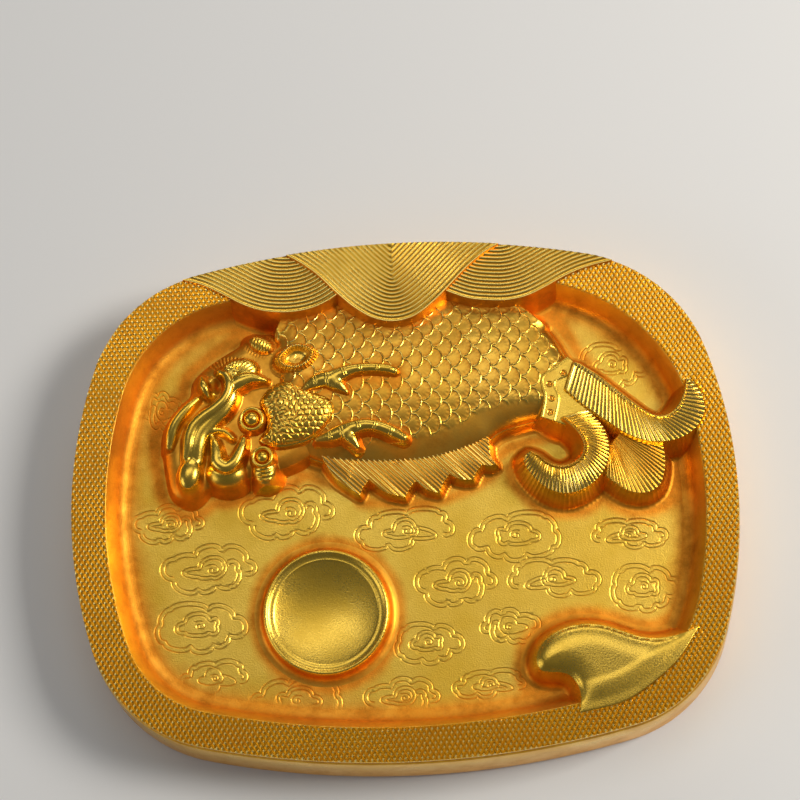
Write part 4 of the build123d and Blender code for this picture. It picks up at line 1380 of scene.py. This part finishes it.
def make_ear():
    """A pointed oval shell: a smooth hollow with a raised border of short flutes."""
    turns = np.linspace(0, 2 * math.pi, EAR_FLUTES * 8, endpoint=False)
    along = EAR_HALF[0] * np.cos(turns)
    across = EAR_HALF[1] * np.sin(turns) * (1 - 0.25 * np.cos(turns) ** 2)
    cos, sin = math.cos(EAR_TURN), math.sin(EAR_TURN)
    rim = np.stack([along * cos - across * sin, along * sin + across * cos], 1)
    flutes = bell((turns * EAR_FLUTES / (2 * math.pi)) % 1.0 - 0.5, 0.22)
    shape = Shape()
    rings = []
    for turn in np.radians(np.linspace(90, 0, EAR_RINGS + 1)[:-1]):
        share = math.sin(turn)
        on = min(1.0, max(0.0, (share - 0.58) / 0.08))
        z = EAR_HOLLOW + EAR_BORDER * bell(share - 0.8, 0.24) - EAR_CUT * on * (1 - flutes)
        # Painted highlight on the flutes' crests, patina between them and in the hollow
        low = 0.2 * (1 - math.cos(turn)) ** 2 + on * (0.5 - 0.95 * flutes) + 0.4 * (1 - on)
        rings.append(shape.add(np.column_stack([EAR + rim * share, z]), low))
    for outer, inner in zip(rings, rings[1:]):
        shape.band(inner, outer)
    shape.tip(rings[-1], (*EAR, EAR_HOLLOW), 0.0)
    last = skirt(shape, rings[0], EAR_FOOT, edge=0.1, cove=1.4, deep_top=0.2, deep_foot=0.9)
    capped(shape, last, EAR_FOOT - SUNK)
    finished(shape, "ear", ["ear_shell"], RELIEF, 60)


def make_eye(which, middle, radius):
    """A ball in a rounded socket. The stations are set from the radius and the socket's top."""
    top = RIM + 0.25
    socket = [(1.2, HEAD_BASE - 0.6, 1.0), (0.8, HEAD_BASE + 0.4, 1.0), (0.45, HEAD_BASE + 1.5, 0.9),
              (0.15, top - 1.1, 0.6), (0.0, top - 0.5, 0.3), (-0.2, top - 0.12, 0.1),
              (-0.45, top, 0.0), (-0.75, top - 0.1, 0.1), (-1.0, top - 0.5, 0.6),
              (-1.2, top - 1.0, 1.0), (-1.3, top - 1.1, 1.0), (-radius, top - 1.1, 1.0)]
    turned(f"eye_socket_{which}", [f"eye_socket_{which}"], RELIEF, middle,
           [(radius + out, z, low) for out, z, low in socket])
    ball = radius - 1.25
    section = [(ball, top - 1.3, 1.0)]
    for turn in np.radians((8, 20, 32, 44, 56, 68, 80)):
        z = top - 1.15 + ball * 1.05 * math.sin(turn)
        section.append((ball * math.cos(turn), z, max(0.0, 0.5 - turn)))
    section.append((0.0, top - 1.15 + ball * 1.05, 0.0))
    turned(f"eyeball_{which}", [f"eyeball_{which}"], RELIEF, middle, section)


# Horns

UPPER_HORN = [
    (-24.3, 28.8, 0.9, 20.2), (-22.6, 29.9, 1.5, 21.1), (-19.8, 30.8, 2.0, 21.8),
    (-16.5, 31.3, 2.2, 22.1), (-13.8, 32.3, 1.8, 22.2), (-11.2, 33.0, 1.35, 22.2),
    (-6.1, 33.1, 1.2, 22.2), (-1.9, 32.5, 1.15, 22.0), (-0.6, 32.0, 1.0, 21.6),
]
UPPER_PRONG = [
    (-17.0, 30.3, 2.1, 22.0), (-15.4, 29.2, 1.6, 22.0), (-14.1, 28.0, 1.0, 21.5),
    (-13.3, 27.2, 0.5, 20.9),
]
UPPER_ROOM = [(-26.5, 27), (-25, 32), (-12, 36.5), (2, 36), (3, 29), (-10, 28.5), (-11, 25), (-22, 26)]
LOWER_HORN = [
    (-21.3, 14.9, 0.8, 20.2), (-18.4, 15.5, 1.5, 20.9), (-15.2, 16.5, 1.9, 21.5),
    (-12.0, 17.4, 1.9, 21.9), (-8.5, 17.9, 1.5, 22.1), (-5.0, 17.2, 1.4, 22.1), (-1.6, 15.6, 1.4, 21.8),
    (1.0, 14.1, 1.1, 21.2),
]
LOWER_PRONG = [(-13.6, 16.0, 1.9, 21.8), (-12.2, 14.2, 1.4, 21.6), (-11.0, 12.4, 0.7, 20.9)]
LOWER_ROOM = [
    (-23.5, 13.6), (-19, 18.5), (-9, 21.5), (-2, 20.5), (4, 15), (3, 12.6), (-4, 13.6), (-8.6, 14.2),
    (-9.4, 11.4), (-11.2, 10.9), (-13.2, 12.8), (-17, 13.0),
]


HORN_BASE = 15.4
HORN_BLEND = 3.6
HORN_LEVEL = 20.0
RING_STATIONS = (3.4, 6.6, 11.2, 15.6, 20.2)
RING_RISE = 0.17
RING_WIDTH = 0.14


def make_horn(which, main, prong, room):
    """A branched horn with pairs of thin rings round it. Its flanks run down into the body."""
    outline = anticlockwise(resampled(room, 0.5, True))
    tree = tree_of(smooth(main, RIDGE_STEP))

    def height(p):
        forms = [ridge(p, main), ridge(p, prong), np.full(len(p), HORN_BASE)]
        z = merged(forms, HORN_BLEND, HORN_LEVEL)
        _, index = nearest(tree, p)
        along = index * RIDGE_STEP
        rings = np.zeros(len(p))
        for station in RING_STATIONS:
            for shift in (-0.3, 0.3):
                rings += bell(along - station - shift, RING_WIDTH)
        on = share_of((z - 19.9) / 0.6)
        return z + RING_RISE * rings * on, np.clip((20.9 - z) / 1.4, 0, 0.9)

    relief(f"horn_{which}", [f"horn_{which}"], RELIEF, outline, height,
           lattice_points(outline, 0.17, 0.1), edge=0.02, cove=0.02, foot=16.0, deep=0.12,
           angle=70.0)


make_well(make_rim())
for side in ("left", "right", "middle"):
    make_wave(side)
make_body()
make_tail()
make_dish()
make_tongue()
make_fin()
make_collar()
make_head_base()
make_crown()
make_ear()
make_eye("upper", (-38.2, 21.4), 3.3)
make_eye("lower", (-35.6, 11.1), 2.9)
make_horn("upper", UPPER_HORN, UPPER_PRONG, UPPER_ROOM)
make_horn("lower", LOWER_HORN, LOWER_PRONG, LOWER_ROOM)


# Setting

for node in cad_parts.values():
    held = node.data.materials
    if not len(held):
        held.append(gilt_relief)
    for index in range(len(held)):
        held[index] = gilt_relief


def studio():
    world = bpy.data.worlds.new("studio")
    bpy.context.scene.world = world
    world.use_nodes = True
    nodes, links = world.node_tree.nodes, world.node_tree.links
    nodes.clear()
    out = nodes.new("ShaderNodeOutputWorld")
    light = nodes.new("ShaderNodeBackground")
    light.inputs["Color"].default_value = (0.9, 0.94, 1.0, 1.0)
    light.inputs["Strength"].default_value = 0.12
    links.new(light.outputs[0], out.inputs[0])

    floor_mesh = bpy.data.meshes.new("floor")
    reach = 3.0
    corners = [(-reach, -reach, 0), (reach, -reach, 0), (reach, reach, 0), (-reach, reach, 0)]
    floor_mesh.from_pydata(corners, [], [(0, 1, 2, 3)])
    floor = bpy.data.objects.new("floor", floor_mesh)
    bpy.context.scene.collection.objects.link(floor)
    paint = bpy.data.materials.new("floor_paint")
    paint.use_nodes = True
    shader = paint.node_tree.nodes["Principled BSDF"]
    shader.inputs["Base Color"].default_value = (0.82, 0.81, 0.79, 1.0)
    shader.inputs["Roughness"].default_value = 0.9
    floor_mesh.materials.append(paint)

    def lamp(name, place, size, power, colour):
        data = bpy.data.lights.new(name, "AREA")
        data.shape = "RECTANGLE"
        data.size, data.size_y = size
        data.energy = power
        data.color = colour
        piece = bpy.data.objects.new(name, data)
        bpy.context.scene.collection.objects.link(piece)
        piece.location = place
        aim = Vector((0, 0, 0.01)) - Vector(place)
        piece.rotation_euler = aim.to_track_quat("-Z", "Y").to_euler()

    lamp("key", (0.62, 0.1, 0.6), (0.3, 0.3), 5.2, (1.0, 0.96, 0.9))
    lamp("fill", (-0.8, -0.25, 0.4), (0.5, 0.4), 1.0, (0.95, 0.97, 1.0))
    lamp("top", (-0.1, 0.38, 1.05), (0.9, 0.44), 1.5, (1.0, 0.99, 0.97))
    lamp("rear", (0.1, 0.75, 0.42), (0.7, 0.2), 0.9, (1.0, 0.98, 0.95))


def camera():
    """The photograph's view: nearly from above, turned a little."""
    data = bpy.data.cameras.new("camera")
    data.lens = 76.5
    data.sensor_width = 36.0
    data.clip_start = 0.01
    piece = bpy.data.objects.new("camera", data)
    bpy.context.scene.collection.objects.link(piece)
    pitch, yaw, roll = (math.radians(a) for a in (73.43, -5.92, 8.72))
    right = Vector((1, 0, 0))
    up = Vector((0, math.sin(pitch), math.cos(pitch)))
    back = Vector((0, -math.cos(pitch), math.sin(pitch)))
    to_camera = Matrix.Rotation(roll, 3, "Z") @ Matrix((right, up, back)) @ Matrix.Rotation(yaw, 3, "Z")
    to_part = to_camera.transposed()
    rim_middle = Vector((0.55, -23.28, -433.1))
    place = (to_part @ -rim_middle + Vector((0, 0, RIM))) * MM
    piece.matrix_world = Matrix.Translation(place) @ to_part.to_4x4()
    bpy.context.scene.camera = piece


studio()
camera()
bpy.context.scene.view_settings.view_transform = "Standard"
